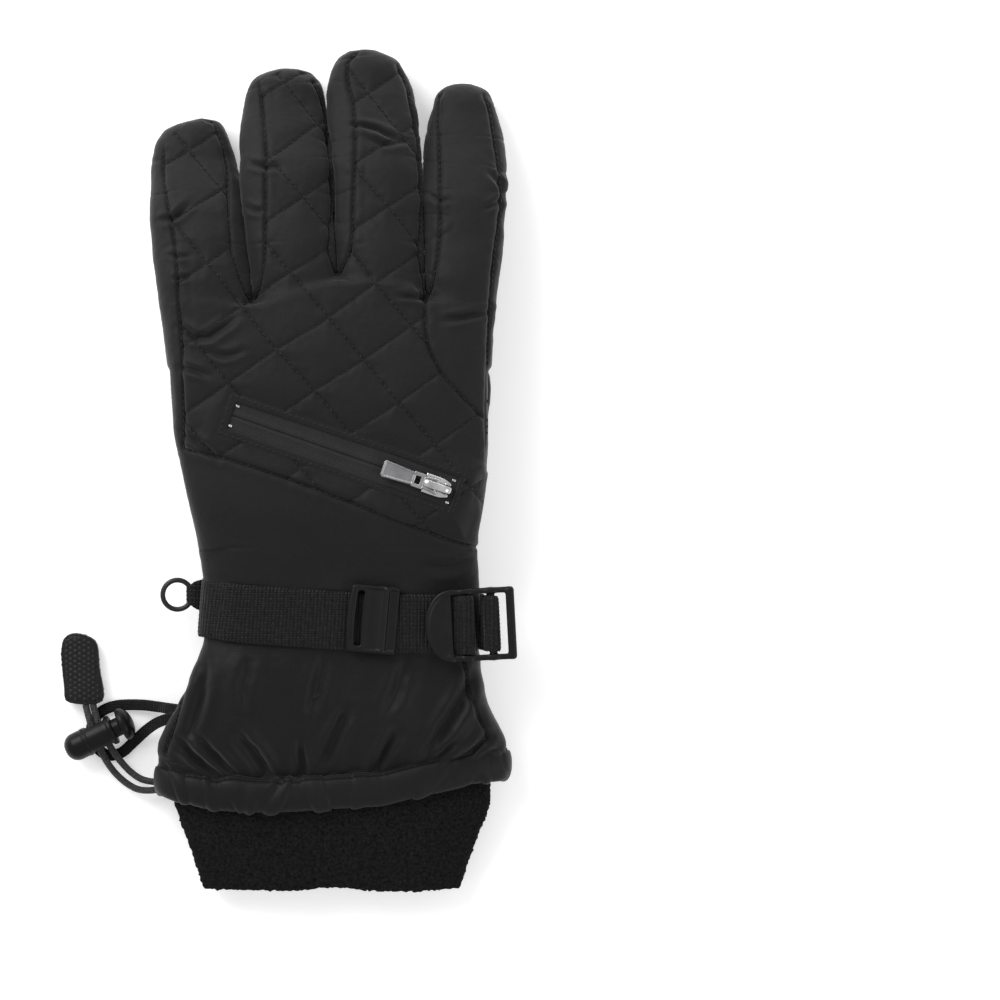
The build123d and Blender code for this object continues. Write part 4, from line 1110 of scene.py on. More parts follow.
def ribbon(name, path, width, thick, side, ds=0.235, dw=0.46, rib=0.36, period=1.38, rows=1.5, rough_edge=0.12, dense=12):
    """A woven band along a path. side is one vector, or one per path point; width may be a list too."""
    n0 = len(path)
    sides = np.array([side] * n0 if np.ndim(side) == 1 else side, float)
    widths = np.array([width] * n0 if np.ndim(width) == 0 else width, float)
    allp = np.column_stack([np.asarray(path, float), sides, widths])
    q, s = resample(allp, ds, dense)
    # resample() measures all columns, so respace by the path alone
    L = np.r_[0, np.cumsum(np.linalg.norm(np.diff(q[:, :3], axis=0), axis=1))]
    s = np.linspace(0, L[-1], max(int(L[-1] / ds), 4) + 1)
    q = np.column_stack([np.interp(s, L, q[:, i]) for i in range(7)])
    c, sd, w = q[:, :3], q[:, 3:6], q[:, 6]
    t = np.gradient(c, axis=0)
    t /= np.linalg.norm(t, axis=1)[:, None]
    sd = sd - (sd * t).sum(1)[:, None] * t
    sd /= np.linalg.norm(sd, axis=1)[:, None]
    nrm = np.cross(t, sd)
    m = max(int(widths.max() / dw), 4)
    v = np.linspace(-1, 1, m + 1)
    v = np.sign(v) * (1 - (1 - np.abs(v)) ** 1.15)
    S, Vv = np.meshgrid(s, v, indexing="ij")
    T = Vv * w[:, None] / 2
    prof = (1 - np.abs(Vv) ** 10) ** 0.5
    ph = np.pi * (S / period + 0.16 * np.sin(2 * np.pi * T / rows))
    cell = 0.82 + 0.18 * np.cos(2 * np.pi * T / rows)
    h = rib * (np.abs(np.cos(ph)) ** 0.7 * cell - 0.5)
    # painted shade: darker in the valleys between the ribs, stored as a point attribute
    dark = np.clip(1 - np.abs(np.cos(ph)) * 1.35 * cell, 0, 1)
    edge = 1 + rough_edge * 0.12 * np.sin(2 * np.pi * S / period) * (np.abs(Vv) > 0.93)
    base = c[:, None, :] + sd[:, None, :] * (T * edge)[..., None]
    topz = (thick / 2 * prof + h * (prof > 0.2))
    top = base + nrm[:, None, :] * topz[..., None]
    bot = base - nrm[:, None, :] * topz[..., None]
    ring = np.concatenate([top, bot[:, ::-1]], axis=1)
    n, k = ring.shape[:2]
    idx = np.arange(n * k).reshape(n, k)
    a, b = idx[:-1], idx[1:]
    quads = np.stack([a, np.roll(a, -1, 1), np.roll(b, -1, 1), b], -1).reshape(-1, 4)
    caps = []
    for r, flip in ((idx[0], True), (idx[-1], False)):
        for j in range(m):
            f = [r[j], r[j + 1], r[k - 2 - j], r[k - 1 - j]]
            caps.append(f if flip else f[::-1])
    quads = np.vstack([quads, np.array(caps)])[:, ::-1]
    ob = mesh_object(name, ring.reshape(-1, 3), quads)
    attribute(ob, "seam", np.concatenate([dark, dark[:, ::-1]], axis=1).ravel())
    return ob


# ------------------------------------------------------------------ thumb, folded under the palm
TH = [(54.6, -19.0), (57.2, -7), (58.2, 12), (58.0, 40.5), (30, 56), (4, 70.4), (-9, 74.2), (-19.6, 72.4), (-27.0, 65.4), (-28.0, 56.0), (-10, 24), (10.5, -10.5), (24, -19.2)]
TH = smooth_line(TH + TH[:1], 6)[:-1]


def thumb_fn(p):
    d2 = poly_sdf(p[0][:, :, 0][..., None], p[1][:, :, 0][..., None], TH) if p[0].ndim == 3 else None
    rim = extruded(d2 + 0.2, p[2], 8.2, 7.8, 6.6)
    crown = 0.9 * np.exp(-np.maximum(-d2, 0) / 9.0)
    return rim + np.where(p[2] < 8, crown * 0.6, crown)


th = moulded("thumb_skin", (-32, -24, -1), (62, 78, 18), 1.0, thumb_fn, rounds=4, sub=1)
co, n = read(th), normals(th)
p2 = co[:, :2]
dd = poly_sdf(co[:, 0], co[:, 1], TH)
out = 0.45 * noise(co, 17.0, 31)
# soft folds where the thumb leaves the palm, and along its seams
fold = np.abs(noise(np.column_stack([p2[:, 0] * 0.9 + p2[:, 1] * 0.5, p2[:, 1] * 0.35 - p2[:, 0] * 0.5, co[:, 2]]), 15.0, 32))
out -= 0.55 * np.exp(-(fold / 0.08) ** 2) * step(p2[:, 0], 22, 50)
web = np.hypot(p2[:, 0] - 52, (p2[:, 1] - 40) * 1.0)
out += 0.7 * noise(co * [1.6, 0.8, 1], 7.0, 33) * np.exp(-(web / 13.0) ** 2)
seamt = np.abs(co[:, 2] - 11.2)
out -= 0.8 * np.exp(-(seamt / 0.8) ** 2) * (dd > -3.2)
co = co + n * out[:, None]
co[:, 2] = np.clip(co[:, 2], 0.3, 16.3)
write(th, co)
# painted shade along the thumb's seam groove
attribute(th, "seam", 0.9 * np.exp(-(seamt / 0.5) ** 2) * (dd > -3.0))
nz = face_normal_z(th)
fc = face_centres(th)
assign(th, [THUMB, PALM, GRIP], np.where((nz > 0.35) & (fc[:, 2] > 11.2), 1, 0))
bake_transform(th)
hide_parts("thumb_shell", "thumb_liner")

# ------------------------------------------------------------------ rolled hem
def super_ring(w, h, cx, cz, n_exp, count):
    a = np.linspace(0, 2 * np.pi, 4000, endpoint=False)
    x = cx + w * np.sign(np.cos(a)) * np.abs(np.cos(a)) ** (2 / n_exp)
    z = cz + h * np.sign(np.sin(a)) * np.abs(np.sin(a)) ** (2 / n_exp)
    L = np.r_[0, np.cumsum(np.hypot(np.diff(np.r_[x, x[0]]), np.diff(np.r_[z, z[0]])))]
    s = np.linspace(0, L[-1], count, endpoint=False)
    return np.interp(s, L, np.r_[x, x[0]]), np.interp(s, L, np.r_[z, z[0]]), s, L[-1]


N = 560
hx, hz, hs, HL = super_ring(64.4, 10.3, -0.4, 13.3, 2.7, N)
tx, tz = np.roll(hx, -1) - np.roll(hx, 1), np.roll(hz, -1) - np.roll(hz, 1)
tl = np.hypot(tx, tz)
nx_, nz_ = tz / tl, -tx / tl
hy = np.interp(hx, HEM_LINE[:, 0], HEM_LINE[:, 1])
hy = hy + np.where(hz < 13.2, 3.4 * step(13.2 - hz, 0, 6) * (0.6 + 0.4 * np.cos(hx / 30)), 0)
K2 = 44
phi = np.linspace(0, 2 * np.pi, K2, endpoint=False)
cp = np.column_stack([np.cos(hs / HL * 2 * np.pi) * HL / 6.283, np.sin(hs / HL * 2 * np.pi) * HL / 6.283])
grid3 = np.empty((N, K2, 3))
samp = np.empty((N, K2, 3))
lean = 5.0 * noise(np.column_stack([hs, 0 * hs, 0 * hs]), 15.0, 45)
for j, f in enumerate(phi):
    cr, sr = math.cos(f), math.sin(f)
    rt, ry = 3.1, 6.5
    e_c = abs(cr) ** 0.85 * (1 if cr >= 0 else -1)
    e_s = abs(sr) ** 0.9 * (1 if sr >= 0 else -1)
    grid3[:, j] = np.column_stack([hx + nx_ * rt * e_c, hy + ry * e_s, hz + nz_ * rt * e_c])
    turn = (hs + lean * e_s) / HL * 2 * np.pi
    samp[:, j] = np.column_stack([np.cos(turn) * HL / 6.283, np.sin(turn) * HL / 6.283, np.full(N, 40 + 6.0 * e_s * 0.45)])
flat = samp.reshape(-1, 3)
P3 = grid3.reshape(-1, 3)
up = np.tile(np.sin(phi), N)
gat = noise(flat * [1, 1, 0.5] + noise(flat, 14, 41)[:, None] * 1.4, 3.5, 42)
strength = step(noise(np.column_stack([flat[:, :2], 0 * flat[:, 0]]), 17.0, 43), -0.35, 0.45)
puck = (np.maximum(gat, -0.1) - 0.32 * np.exp(-(gat / 0.10) ** 2)) * (0.22 + 0.85 * strength) * (0.75 + 0.5 * np.abs(up))
centre = np.repeat(np.column_stack([hx, hy, hz]), K2, axis=0)
dirn = P3 - centre
dirn /= np.linalg.norm(dirn, axis=1)[:, None]
P3 = P3 + dirn * (1.0 * puck + 0.35 * noise(P3, 9.0, 44) - 0.85 * np.exp(-((up - 0.86) / 0.10) ** 2) * (np.tile(np.cos(phi), N) > 0))[:, None]
P3[:, 2] = np.maximum(P3[:, 2], 0.25)
idx = np.arange(N * K2).reshape(N, K2)
quads = np.stack([idx, np.roll(idx, -1, 0), np.roll(np.roll(idx, -1, 0), -1, 1), np.roll(idx, -1, 1)], -1).reshape(-1, 4)
hem = mesh_object("hem_roll", P3, quads)
# painted shade along the hem's stitch groove
attribute(hem, "seam", 0.9 * np.exp(-((up - 0.86) / 0.06) ** 2) * (np.tile(np.cos(phi), N) > 0))
G3 = P3.reshape(N, K2, 3)
jj = int(np.argmin(np.abs(phi - math.asin(0.88))))
line3, out3 = G3[:, jj], (dirn.reshape(N, K2, 3))[:, jj]
verts, quads_ = [], []
per = 2.35
Ls = np.r_[0, np.cumsum(np.linalg.norm(np.diff(line3, axis=0), axis=1))]
for s0 in np.arange(0.5, Ls[-1] - 2, per):
    a3, m3, b3 = (np.array([np.interp(s_, Ls, line3[:, i]) for i in range(3)]) for s_ in (s0, s0 + 0.75, s0 + 1.5))
    o3 = np.array([np.interp(s0 + 0.75, Ls, out3[:, i]) for i in range(3)])
    v_, q_ = capsule(a3, m3, b3, o3 / np.linalg.norm(o3), 0.24)
    quads_ += [tuple(len(verts) + i for i in q) for q in q_]
    verts += v_
# the two strands carried on into the hem's channel
for a3, m3, b3 in (((-68.4, -121.3, 6.2), (-65.3, -118.2, 6.9), (-62.8, -114.0, 8.2)), ((-68.4, -118.3, 6.2), (-65.5, -116.0, 6.9), (-62.8, -112.5, 8.2))):
    v_, q_ = capsule(np.array(a3), np.array(m3), np.array(b3), np.array([0.0, 0.0, 1.0]), 1.3)
    quads_ += [tuple(len(verts) + i for i in q) for q in q_]
    verts += v_
hthread = mesh_object("hem_thread", verts, np.array(quads_))
hem.data.materials.append(GAUNT)
hthread.data.materials.append(THREAD)
hem = join("hem_roll", [hem, hthread])
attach(hem, "root")
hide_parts("gauntlet_hem", "hem_drawcord")

# ------------------------------------------------------------------ fleece cuff and the lining that it runs into
prof = []
for y_, wl, wr, zb, zt in ((-36, 40, 41, 18.5, 29.5), (-60, 41, 42, 11.5, 22.5), (-84, 43, 45, 9.6, 20.8), (-110, 52.0, 52.6, 8.4, 20.4), (-128, 55.2, 54.8, 8.0, 19.6), (-146, 50.2, 50.2, 4.6, 16.4), (-156.6, 46.6, 46.2, 2.6, 14.2)):
    prof.append((y_, (-wl + wr) / 2, (wl + wr) / 2, (zb + zt) / 2, (zt - zb) / 2))
inner = np.array(prof)
outer = []
for y_, wl, wr, zb, zt in ((-158.0, 48.9, 47.4, 0.9, 15.4), (-155.5, 50.2, 48.4, 0.6, 16.2), (-146, 53.2, 51.6, 1.4, 17.8), (-138, 56.0, 54.8, 3.4, 19.4), (-126, 60.2, 59.4, 5.8, 21.4), (-112, 59.5, 59.5, 6.4, 21.8), (-86, 50, 52, 8.0, 22.4)):
    outer.append((y_, (-wl + wr) / 2, (wl + wr) / 2, (zb + zt) / 2, (zt - zb) / 2))
prof = np.vstack([inner, np.array(outer)])
pl = np.r_[0, np.cumsum(np.hypot(np.diff(prof[:, 0]), np.diff(prof[:, 2])))]
pn = int(pl[-1] / 0.72)
pr = np.linspace(0, pl[-1], pn)
prof = np.column_stack([np.interp(pr, pl, prof[:, i]) for i in range(5)])
for i in range(1, 5):
    prof[:, i] = blur(prof[:, i], 2)
M = 340
ring_pts = np.empty((pn, M, 3))
for i, (y_, cx, w, cz, h) in enumerate(prof):
    x_, z_, _, _ = super_ring(w, h, cx, cz, 2.5, M)
    ring_pts[i] = np.column_stack([x_, np.full(M, y_), z_])
F3 = ring_pts.reshape(-1, 3)
wav = 1.1 * noise(np.column_stack([F3[:, 0], F3[:, 2] * 0.8, 0 * F3[:, 0]]), 21.0, 51)
F3[:, 1] += wav * step(-F3[:, 1], 120, 150)
idx = np.arange(pn * M).reshape(pn, M)
quads = np.stack([idx[:-1], np.roll(idx[:-1], -1, 1), np.roll(idx[1:], -1, 1), idx[1:]], -1).reshape(-1, 4)
cuff = mesh_object("fleece_cuff_knit", F3, quads)
co, n = read(cuff), normals(cuff)
mid_r = np.array([co[M * 8: M * 9].mean(axis=0)])
if ((co[-M * 20:, 0] - 0) * n[-M * 20:, 0]).sum() < 0:
    cuff.data.flip_normals()
    n = -n
rows_i = np.repeat(np.arange(pn), M)
fuzz = 0.8 * np.abs(noise(co, 1.5, 52)) + 0.9 * np.abs(noise(co, 0.95, 53)) + 0.5 * noise(co, 0.75, 55)
drape = noise(co * [1, 0.45, 1], 17.0, 54)
co = co + n * (0.62 * (fuzz - 0.35) + 0.75 * drape * step(-co[:, 1], 95, 112))[:, None]
co[:, 2] = np.maximum(co[:, 2], 0.2)
write(cuff, co)
finish_piece(cuff, FLEECE, "root", "fleece", "fleece_cuff")

# ------------------------------------------------------------------ wrist strap, its loop over the buckle's bar and its free end
BF = Frame(55.8, -57.4, 36.5, 3.0)
CL = np.array([(-49.3, -51.4), (-33.9, -53.6), (7.3, -56.4), (35.1, -57.4), (50.4, -57.8)])


def strap_y(x):
    return np.interp(x, CL[:, 0], CL[:, 1])


def super_z(x, off):
    u = np.clip(np.abs(x - 2.7) / (52.3 + off), 0, 1)
    return 20.3 + (11.7 + off) * (1 - u ** 2.9) ** (1 / 2.9)


pts, sides = [], []
across = BF.vec([(0, 1, 0)])[0]
a0 = math.radians(4.5)
plain = np.array([math.sin(a0), math.cos(a0), 0])
for ang in (238, 226, 214, 203, 193, 184, 175, 166, 156, 146):
    a = math.radians(ang)
    x = 2.9 + 52.1 * np.sign(math.cos(a)) * abs(math.cos(a)) ** (2 / 2.9)
    z = 20.3 + 12.6 * np.sign(math.sin(a)) * abs(math.sin(a)) ** (2 / 2.9)
    pts.append((x, strap_y(max(x, -49.3)) - 0.0, z))
    sides.append(plain)
x_start = pts[-1][0]
for x in np.arange(x_start + 5, 32, 6.0):
    pts.append((x, strap_y(x), super_z(x, 1.35)))
    sides.append(plain)
ba = BF.out([(-5.5, 0, 0)])[0]
bx, by, bz = ba
for dx, z in ((-14.5, 32.7), (-9.5, 33.0), (-4.5, 33.7)):
    pts.append((bx + dx, by, z))
    sides.append(plain * (1 - (14.5 + dx) / 14.5) + across * ((14.5 + dx) / 14.5))
for ang in (-80, -45, -5, 35, 75, 110, 150):
    a = math.radians(ang)
    pts.append((bx + 2.45 * math.cos(a), by, bz + 2.45 * math.sin(a)))
    sides.append(across)
for dx, z in ((-5.0, 36.4), (-9.5, 34.95), (-15.0, 34.6), (-21.5, 34.5), (-27.5, 34.5)):
    pts.append((bx + dx, by + 0.02 * (-dx), z))
    sides.append(plain * min(1, (-dx) / 14) + across * (1 - min(1, (-dx) / 14)))
pts.append((19.0, -55.6, 34.6))
sides.append(plain)
strap = ribbon("strap_webbing", pts, 21.8, 1.35, sides)
strap.data.materials.append(WEB)
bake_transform(strap)
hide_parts("wrist_strap", "strap_loop", "strap_free_end")

bb = BF.out([(4.1, 0, 0)])[0]
pts = [(52.6, bb[1] + 0.4, 10.5), (54.9, bb[1] + 0.3, 15.0), (55.9, bb[1] + 0.2, 21.0), (56.3, bb[1], 27.5), (56.9, bb[1], 33.0)]
sides = [plain] * 3 + [across] * 2
for ang in (170, 130, 90, 50, 10, -35):
    a = math.radians(ang)
    pts.append((bb[0] + 2.3 * math.cos(a), bb[1], bb[2] + 2.3 * math.sin(a)))
    sides.append(across)
pts += [(58.9, bb[1], 31.5), (57.7, bb[1], 26.5), (57.3, bb[1] + 0.2, 21.0)]
sides += [across, across, plain]
anchor = ribbon("buckle_anchor_band", pts, 20.6, 1.15, sides)
finish_piece(anchor, WEB, "root", "webbing", "buckle_anchor_webbing")

# ------------------------------------------------------------------ ladder-lock buckle
def ladder_fn(p):
    x, y, z = p
    frame_ = rbox(p, (-0.3, 0, 0), (12.9, 13.5, 1.75), 1.15)
    inner_ = rbox(p, (-1.7, 0, 0), (11.6, 11.35, 5), 1.0)
    f = smax(frame_, -inner_, 0.5)
    f = smax(f, -rbox(p, (-14.5, 0, 0), (3.4, 11.35, 5), 0.8), 0.3)
    for c in (-5.5, 4.1):
        f = smin(f, rod(p, (c, -12.2, 0), (c, 12.2, 0), 1.45), 0.5)
    # the tab: a round-fronted plate, a little thicker round its rim
    half = np.sqrt(np.clip(1 - ((x + 11.4) / 9.4) ** 2, 0, 1))
    d2 = np.maximum(np.hypot((x + 11.4) / 9.4, y / 13.5) - 1, 0)
    g2 = (np.hypot((x + 11.4) / 9.4, y / 13.4) - 1) * 9.6
    g2 = np.maximum(g2, x + 10.6)
    plate = extruded(g2, z, 1.1, 0.85, 0.6)
    rim = extruded(np.abs(g2 + 0.9) - 0.75, z, 1.35, 1.0, 0.55)
    f = smin(f, smin(plate, rim, 0.4), 0.5)
    # raised ends of the rails and a thicker outer bar
    for c in (-5.5, 4.1):
        f = smin(f, rbox(p, (c, 12.4, 0.2), (2.0, 1.0, 1.9), 0.7), 0.5)
        f = smin(f, rbox(p, (c, -12.4, 0.2), (2.0, 1.0, 1.9), 0.7), 0.5)
    f = smin(f, rbox(p, (11.2, 0, 0.1), (1.55, 13.4, 1.95), 1.2), 0.5)
    return f


lock = moulded("ladder_lock_moulding", (-21.5, -14.5, -2.6), (13.4, 14.5, 3.2), 0.3, ladder_fn, BF, rounds=2)
finish_piece(lock, BLACK, "ladder_lock", "buckle_plastic", "ladder_lock")

# ------------------------------------------------------------------ strap end clip
CF = Frame(16.0, -55.6, 35.2, -5.0)


def clip_fn(p):
    x, y, z = p
    x = x / 1.12
    p = (x, y, z)
    bow = -0.9 * (1 - (y / 12.6) ** 2)
    body = rbox((x, y, z), (0.4, 0, -0.1), (7.4, 12.7, 1.75), 0.9)
    left = rbox((x - bow, y, z), (-6.9, 0, -0.05), (1.2, 12.5, 1.8), 0.9)
    f = smin(body, left, 0.5)
    f = smax(f, -rbox((x - 0.5 * bow, y, z), (-4.7, 0, 0.8), (1.15, 10.3, 2.6), 0.8), 0.4)
    # dished middle and a stepped outer plate
    dish = np.sqrt((x + 0.2) ** 2 + (z - 10.2) ** 2) - 9.15
    f = smax(f, -np.maximum(np.maximum(dish, np.abs(x + 0.2) - 3.3), np.abs(y) - 11.2), 0.35)
    f = smin(f, rod(p, (3.6, -11.6, 1.35), (3.6, 11.6, 1.35), 0.75), 0.5)
    f = smax(f, -rbox(p, (6.0, 0, 2.0), (1.5, 11.2, 0.85), 0.4), 0.3)
    # room for the webbing
    f = smax(f, -rbox(p, (3.0, 0, -0.75), (9.5, 11.3, 0.95), 0.4), 0.2)
    return f


clip = moulded("strap_end_clip_moulding", (-10.8, -13.6, -2.4), (9.6, 13.6, 2.8), 0.3, clip_fn, CF, rounds=2)
finish_piece(clip, BLACK, "root", "buckle_plastic", "strap_end_clip")

# ------------------------------------------------------------------ clip ring and its tab
ring_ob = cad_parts["clip_ring"]
pts = [(-46.5, -47.2, 17.6), (-49.5, -47.0, 17.9), (-51.6, -46.9, 18.0), (-53.3, -46.9, 17.75), (-54.6, -46.9, 16.9), (-54.6, -46.9, 15.9), (-53.3, -46.9, 15.1), (-51.6, -46.9, 14.9), (-49.5, -47.0, 14.7), (-46.5, -47.2, 14.4)]
wd = [12.5, 11.6, 10.4, 8.2, 6.4, 6.4, 8.2, 10.4, 11.6, 12.5]
tab = ribbon("ring_tab_webbing", pts, wd, 1.0, (0, 1, 0), ds=0.3, dw=0.3)
finish_piece(tab, WEB, "root", "webbing", "ring_tab")

# ------------------------------------------------------------------ zip
ZF = Frame(4.75, 5.8, 0, -19.16)
HALF = 43.9
SX = HALF - 7.2
nl, nw = 150, 96
u = np.linspace(-HALF - 1.2, HALF + 1.2, nl)
w_ = np.linspace(-6.3, 6.3, nw)
Uu, Ww = np.meshgrid(u, w_, indexing="ij")
zz = 41.95 + 0.17 * np.abs(np.sin(np.pi * Ww / 0.84)) - 0.32 * np.exp(-(Ww / 0.28) ** 2) + 0.26 * np.exp(-((np.abs(Ww) - 1.1) / 0.9) ** 2)
zz = zz + 0.22 * noise(np.column_stack([Uu.ravel(), Ww.ravel(), 0 * Uu.ravel()]), 12.0, 61).reshape(Uu.shape)
top = np.stack([Uu, Ww, zz], -1).reshape(-1, 3)
bot = np.stack([Uu, Ww, zz * 0 + 40.7], -1).reshape(-1, 3)
idx = np.arange(nl * nw).reshape(nl, nw)
qt = np.stack([idx[:-1, :-1], idx[1:, :-1], idx[1:, 1:], idx[:-1, 1:]], -1).reshape(-1, 4)
qb = qt[:, ::-1] + nl * nw
rim_loop = np.r_[idx[0, :], idx[1:, -1], idx[-1, -2::-1], idx[-2:0:-1, 0]]
nxt = np.roll(rim_loop, -1)
qs = np.stack([rim_loop, nxt, nxt + nl * nw, rim_loop + nl * nw], -1)
tape = mesh_object("zip_tape_ribbed", ZF.out(np.vstack([top, bot])), np.vstack([qt, qb, qs]))
finish_piece(tape, TAPE, "root", "zip_tape", "zipper_tape", "zipper_coil", "zip_welt")


def slider_fn(p):
    x, y, z = p
    xx = x - SX
    # plan: blunt at the pull end, rounded to a point at the other
    d2 = np.maximum(np.abs(y) - 3.7 + 0.055 * np.maximum(xx - 0.5, 0) ** 2, np.abs(xx) - 5.0)
    f = extruded(d2, z, 43.1, 0.62, 0.4)
    f = smin(f, extruded(d2 + 0.4, z, 42.2, 0.6, 0.3), 0.2)
    # crown over the pull: two cheeks and a bridge
    f = smin(f, smax(rod(p, (SX - 2.9, 0, 43.6), (SX + 2.9, 0, 43.6), 3.1), -rod(p, (SX - 1.6, 0, 43.9), (SX + 1.3, 0, 43.9), 1.75), 0.3) + np.maximum(np.abs(y) - 1.25, 0) * 1.2, 0.35)
    f = smin(f, rbox(p, (SX + 3.7, 0, 43.9), (1.0, 1.6, 0.9), 0.4), 0.3)
    return f


slider = moulded("zip_slider_cast", (SX - 6, -4.6, 41), (SX + 6, 4.6, 48), 0.18, slider_fn, ZF, rounds=1)
finish_piece(slider, STEEL, "zip_slider", "zip_metal", "zip_slider")


def yoke_fn(p):
    x, y, z = p
    f = rod(p, (SX, -2.35, 45.1), (SX, 2.35, 45.1), 0.62)
    for s_ in (-1, 1):
        f = smin(f, rod(p, (SX, s_ * 2.35, 45.1), (SX - 5.4, s_ * 1.75, 45.1), 0.66), 0.3)
    f = smin(f, rbox(p, (SX - 7.2, 0, 45.1), (2.2, 2.9, 0.78), 0.35), 0.4)
    f = smax(f, -rbox(p, (SX - 7.4, 0, 45.2), (1.0, 1.5, 2.0), 0.3), 0.2)
    return f


yoke = moulded("zip_pull_yoke", (SX - 10, -3.6, 43.6), (SX + 1.2, 3.6, 46.6), 0.16, yoke_fn, ZF, rounds=1)
finish_piece(yoke, GUN, "zip_pull", "zip_metal", "zip_pull")
TABP = [(SX - 8.4, -2.6), (SX - 8.4, 2.6), (SX - 20.6, 3.35), (SX - 21.4, 2.6), (SX - 21.4, -2.6), (SX - 20.6, -3.35)]


def tab_fn(p):
    d2 = poly_sdf(p[0][:, :, 0][..., None] + 0 * p[1][:, :, 0][..., None], p[1][:, :, 0][..., None] + 0 * p[0][:, :, 0][..., None], TABP)
    f = extruded(d2, p[2], 45.05, 0.62, 0.4)
    rim = extruded(np.abs(d2 + 0.55) - 0.35, p[2], 45.1, 0.85, 0.3)
    return smin(f, rim, 0.2)


ptab = moulded("zip_pull_plate", (SX - 22, -4, 44), (SX - 7.6, 4, 46.4), 0.16, tab_fn, ZF, rounds=1)
finish_piece(ptab, SATIN, "zip_pull", "zip_metal", "zip_pull_tab")
dots = []
for i, (dx, dy) in enumerate(((-HALF + 1.2, 3.9), (-HALF + 1.0, -3.9), (HALF - 1.6, -4.4), (HALF - 1.9, 4.2))):
    dots.append(moulded(f"d{i}", (dx - 1.4, dy - 1.4, 41), (dx + 1.4, dy + 1.4, 43.4), 0.14, lambda p, dx=dx, dy=dy: rbox(p, (dx, dy, 42.1), (0.75, 0.5, 0.45), 0.3), ZF, rounds=1))
dots = join("zip_end_staples", dots)
finish_piece(dots, STEEL, "root", "stop_metal", "zip_stops")

# ------------------------------------------------------------------ drawcord, its lock and its pull tab
STRAND_A = [(-0.0674, -0.1210, 0.0064), (-0.0728, -0.1218, 0.0054), (-0.0788, -0.1190, 0.0040), (-0.0841, -0.1140, 0.0038), (-0.0878, -0.1079, 0.0054), (-0.0904, -0.1013, 0.0071), (-0.0928, -0.0949, 0.0054), (-0.0944, -0.0890, 0.0034)]
STRAND_B = [(-0.0674, -0.1180, 0.0064), (-0.0717, -0.1179, 0.0054), (-0.0767, -0.1151, 0.0040), (-0.0811, -0.1105, 0.0039), (-0.0846, -0.1053, 0.0054), (-0.0874, -0.0997, 0.0071), (-0.0901, -0.0943, 0.0054), (-0.0916, -0.0889, 0.0034)]


def cord_curve(name, points, radius):
    cu = bpy.data.curves.new(name, "CURVE")
    cu.dimensions = "3D"
    sp = cu.splines.new("NURBS")
    sp.points.add(len(points) - 1)
    for q, c in zip(sp.points, points):
        q.co = (*c, 1)
    sp.order_u = 3
    sp.use_endpoint_u = True
    sp.resolution_u = 16
    cu.bevel_depth = radius
    cu.bevel_resolution = 8
    cu.use_fill_caps = True
    ob = bpy.data.objects.new(name, cu)
    scene.collection.objects.link(ob)
    ob.data.materials.append(CORD)
    return ob


LF = Frame(-88.9, -100.5, 7.1, 25.67)


def barrel_fn(p):
    x, y, z = p
    r = np.sqrt(y * y + z * z)
    f = disc(r, x, -4.2, 9.7, 5.3, 4.6)
    f = smin(f, disc(r, x, 0.5, 4.9, 5.5, 0.8), 0.8)
    f = smin(f, disc(r, x, 5.2, 0.85, 5.75, 0.5), 0.4)
    f = smin(f, disc(r, x, -5.4, 0.6, 5.5, 0.5), 0.4)
    f = smax(f, -rbox(p, (0, 0, 0), (3.9, 9, 2.7), 1.2), 0.5)
    f = smax(f, -disc(r, x, 5.2, 3.6, 3.95, 0.2), 0.3)
    return f


barrel = moulded("cord_lock_shell", (-14.6, -6.2, -6.2), (6.6, 6.2, 6.2), 0.26, barrel_fn, LF, rounds=2)
finish_piece(barrel, LOCKM, "root", "lock_plastic", "cord_lock_barrel")


def button_fn(p):
    x, y, z = p
    r = np.sqrt(y * y + z * z)
    f = disc(r, x, 5.2, 5.0, 3.55, 0.4)
    head = (np.sqrt(((x - 10.3) / 3.7) ** 2 + (r / 6.4) ** 2) - 1) * 3.7
    head = smax(head, 8.9 - x, 0.5)
    f = smin(f, head, 0.5)
    f = smax(f, -rbox(p, (0.2, 0, 0), (3.9, 9, 2.7), 1.0), 0.3)
    return f


button = moulded("cord_lock_plunger", (0, -6.4, -6.4), (13.4, 6.4, 6.4), 0.26, button_fn, LF, rounds=2)
finish_piece(button, LOCKM, "lock_button", "lock_plastic", "cord_lock_button")

PT = [(-102.9, -68.6), (-101.8, -63), (-97.7, -60.4), (-91.7, -61.5), (-87.9, -64.9), (-86.9, -73.9), (-86.0, -87.4), (-99.8, -87.8), (-101.8, -80.3)]
PT = smooth_line(PT + PT[:1], 4)[:-1] * [1.0, 1.0] + [-1.5, -0.7]


def pull_fn(p):
    d2 = poly_sdf(p[0][:, :, 0][..., None] + 0 * p[1][:, :, 0][..., None], p[1][:, :, 0][..., None] + 0 * p[0][:, :, 0][..., None], PT)
    crown = 0.8 * np.exp(-np.maximum(-d2, 0) / 3.0)
    return extruded(d2, p[2], 3.5, 2.35, 1.5) + crown


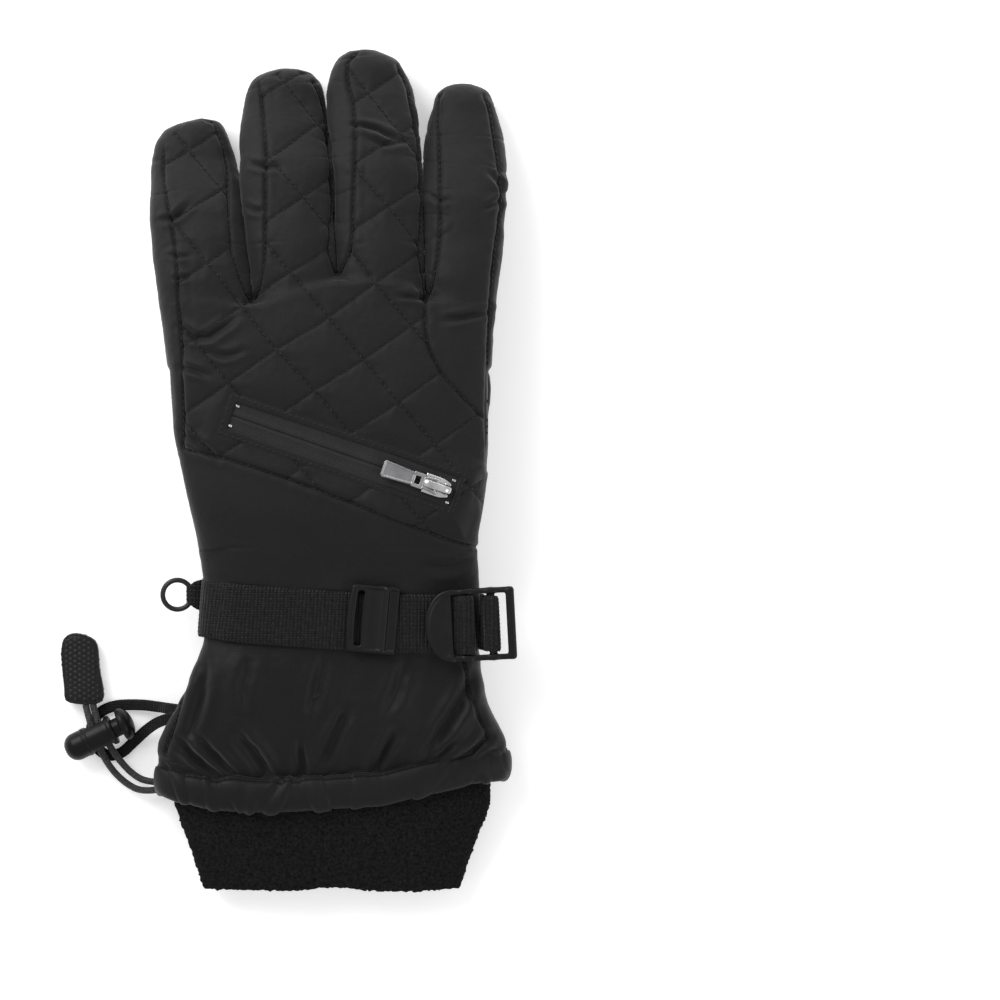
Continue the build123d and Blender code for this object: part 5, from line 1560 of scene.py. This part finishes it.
pull = moulded("drawcord_pull_cap", (-106.0, -90, 0.6), (-85.5, -59.4, 6.4), 0.34, pull_fn, rounds=2)
co, n = read(pull), normals(pull)
a_, b_ = co[:, 0] / 1.75, co[:, 1] / 1.75
hexd = (np.cos(2 * np.pi * a_) + 2 * np.cos(np.pi * a_) * np.cos(np.pi * math.sqrt(3) * b_)) / 3
d_edge = poly_sdf(co[:, 0], co[:, 1], PT)
co = co + n * (0.42 * np.clip(hexd, -0.3, 1) * (np.abs(n[:, 2]) > 0.5) * (np.abs(d_edge + 1.6) > 0.45) - 0.35 * np.exp(-((d_edge + 1.6) / 0.4) ** 2) * (np.abs(n[:, 2]) > 0.5))[:, None]
write(pull, co)
finish_piece(pull, TABM, "root", "palm_leather", "drawcord_pull_tab")

sa = cord_curve("drawcord_front", STRAND_A, 0.0013)
sb = cord_curve("drawcord_back", STRAND_B, 0.0013)
for c_, node_, pts_, ln in ((sa, "drawcord_strand_front", STRAND_A, 0.0462), (sb, "drawcord_strand_back", STRAND_B, 0.0407)):
    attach(c_, "root")
    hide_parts(node_)

AT = [(-54.5, -91.5, 14.5), (-58.5, -90.4, 13.2), (-62.6, -89.9, 11.4), (-67, -89.5, 7), (-73.9, -89, 2.9), (-83, -89.4, 1.7), (-89.2, -92.1, 1.3), (-92.4, -97.7, 1.2), (-91.2, -104.1, 1.2), (-86.6, -108.1, 1.2), (-81.2, -107.3, 1.3), (-76.2, -103.0, 1.9), (-71.6, -98.8, 4.6), (-67.0, -95.6, 9), (-61.8, -93.6, 12.6), (-56.5, -92.6, 14.2)]
sd = []
for i in range(len(AT)):
    a = np.array(AT[min(i + 1, len(AT) - 1)]) - np.array(AT[max(i - 1, 0)])
    v = np.cross(a, (0, 0, 1.0))
    sd.append(v / np.linalg.norm(v))
atape = ribbon("cord_lock_tape", AT, 4.2, 0.95, sd, ds=0.28, dw=0.28, rib=0.12, period=1.1, rows=0.95)
finish_piece(atape, WEB, "root", "webbing", "cord_lock_anchor_tape")

for nm, mt in (("clip_ring", RINGM), ("cord_lock_spring", STEEL), ("wrist_elastic", WEB)):
    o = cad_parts[nm]
    o.data.materials.clear()
    o.data.materials.append(mt)
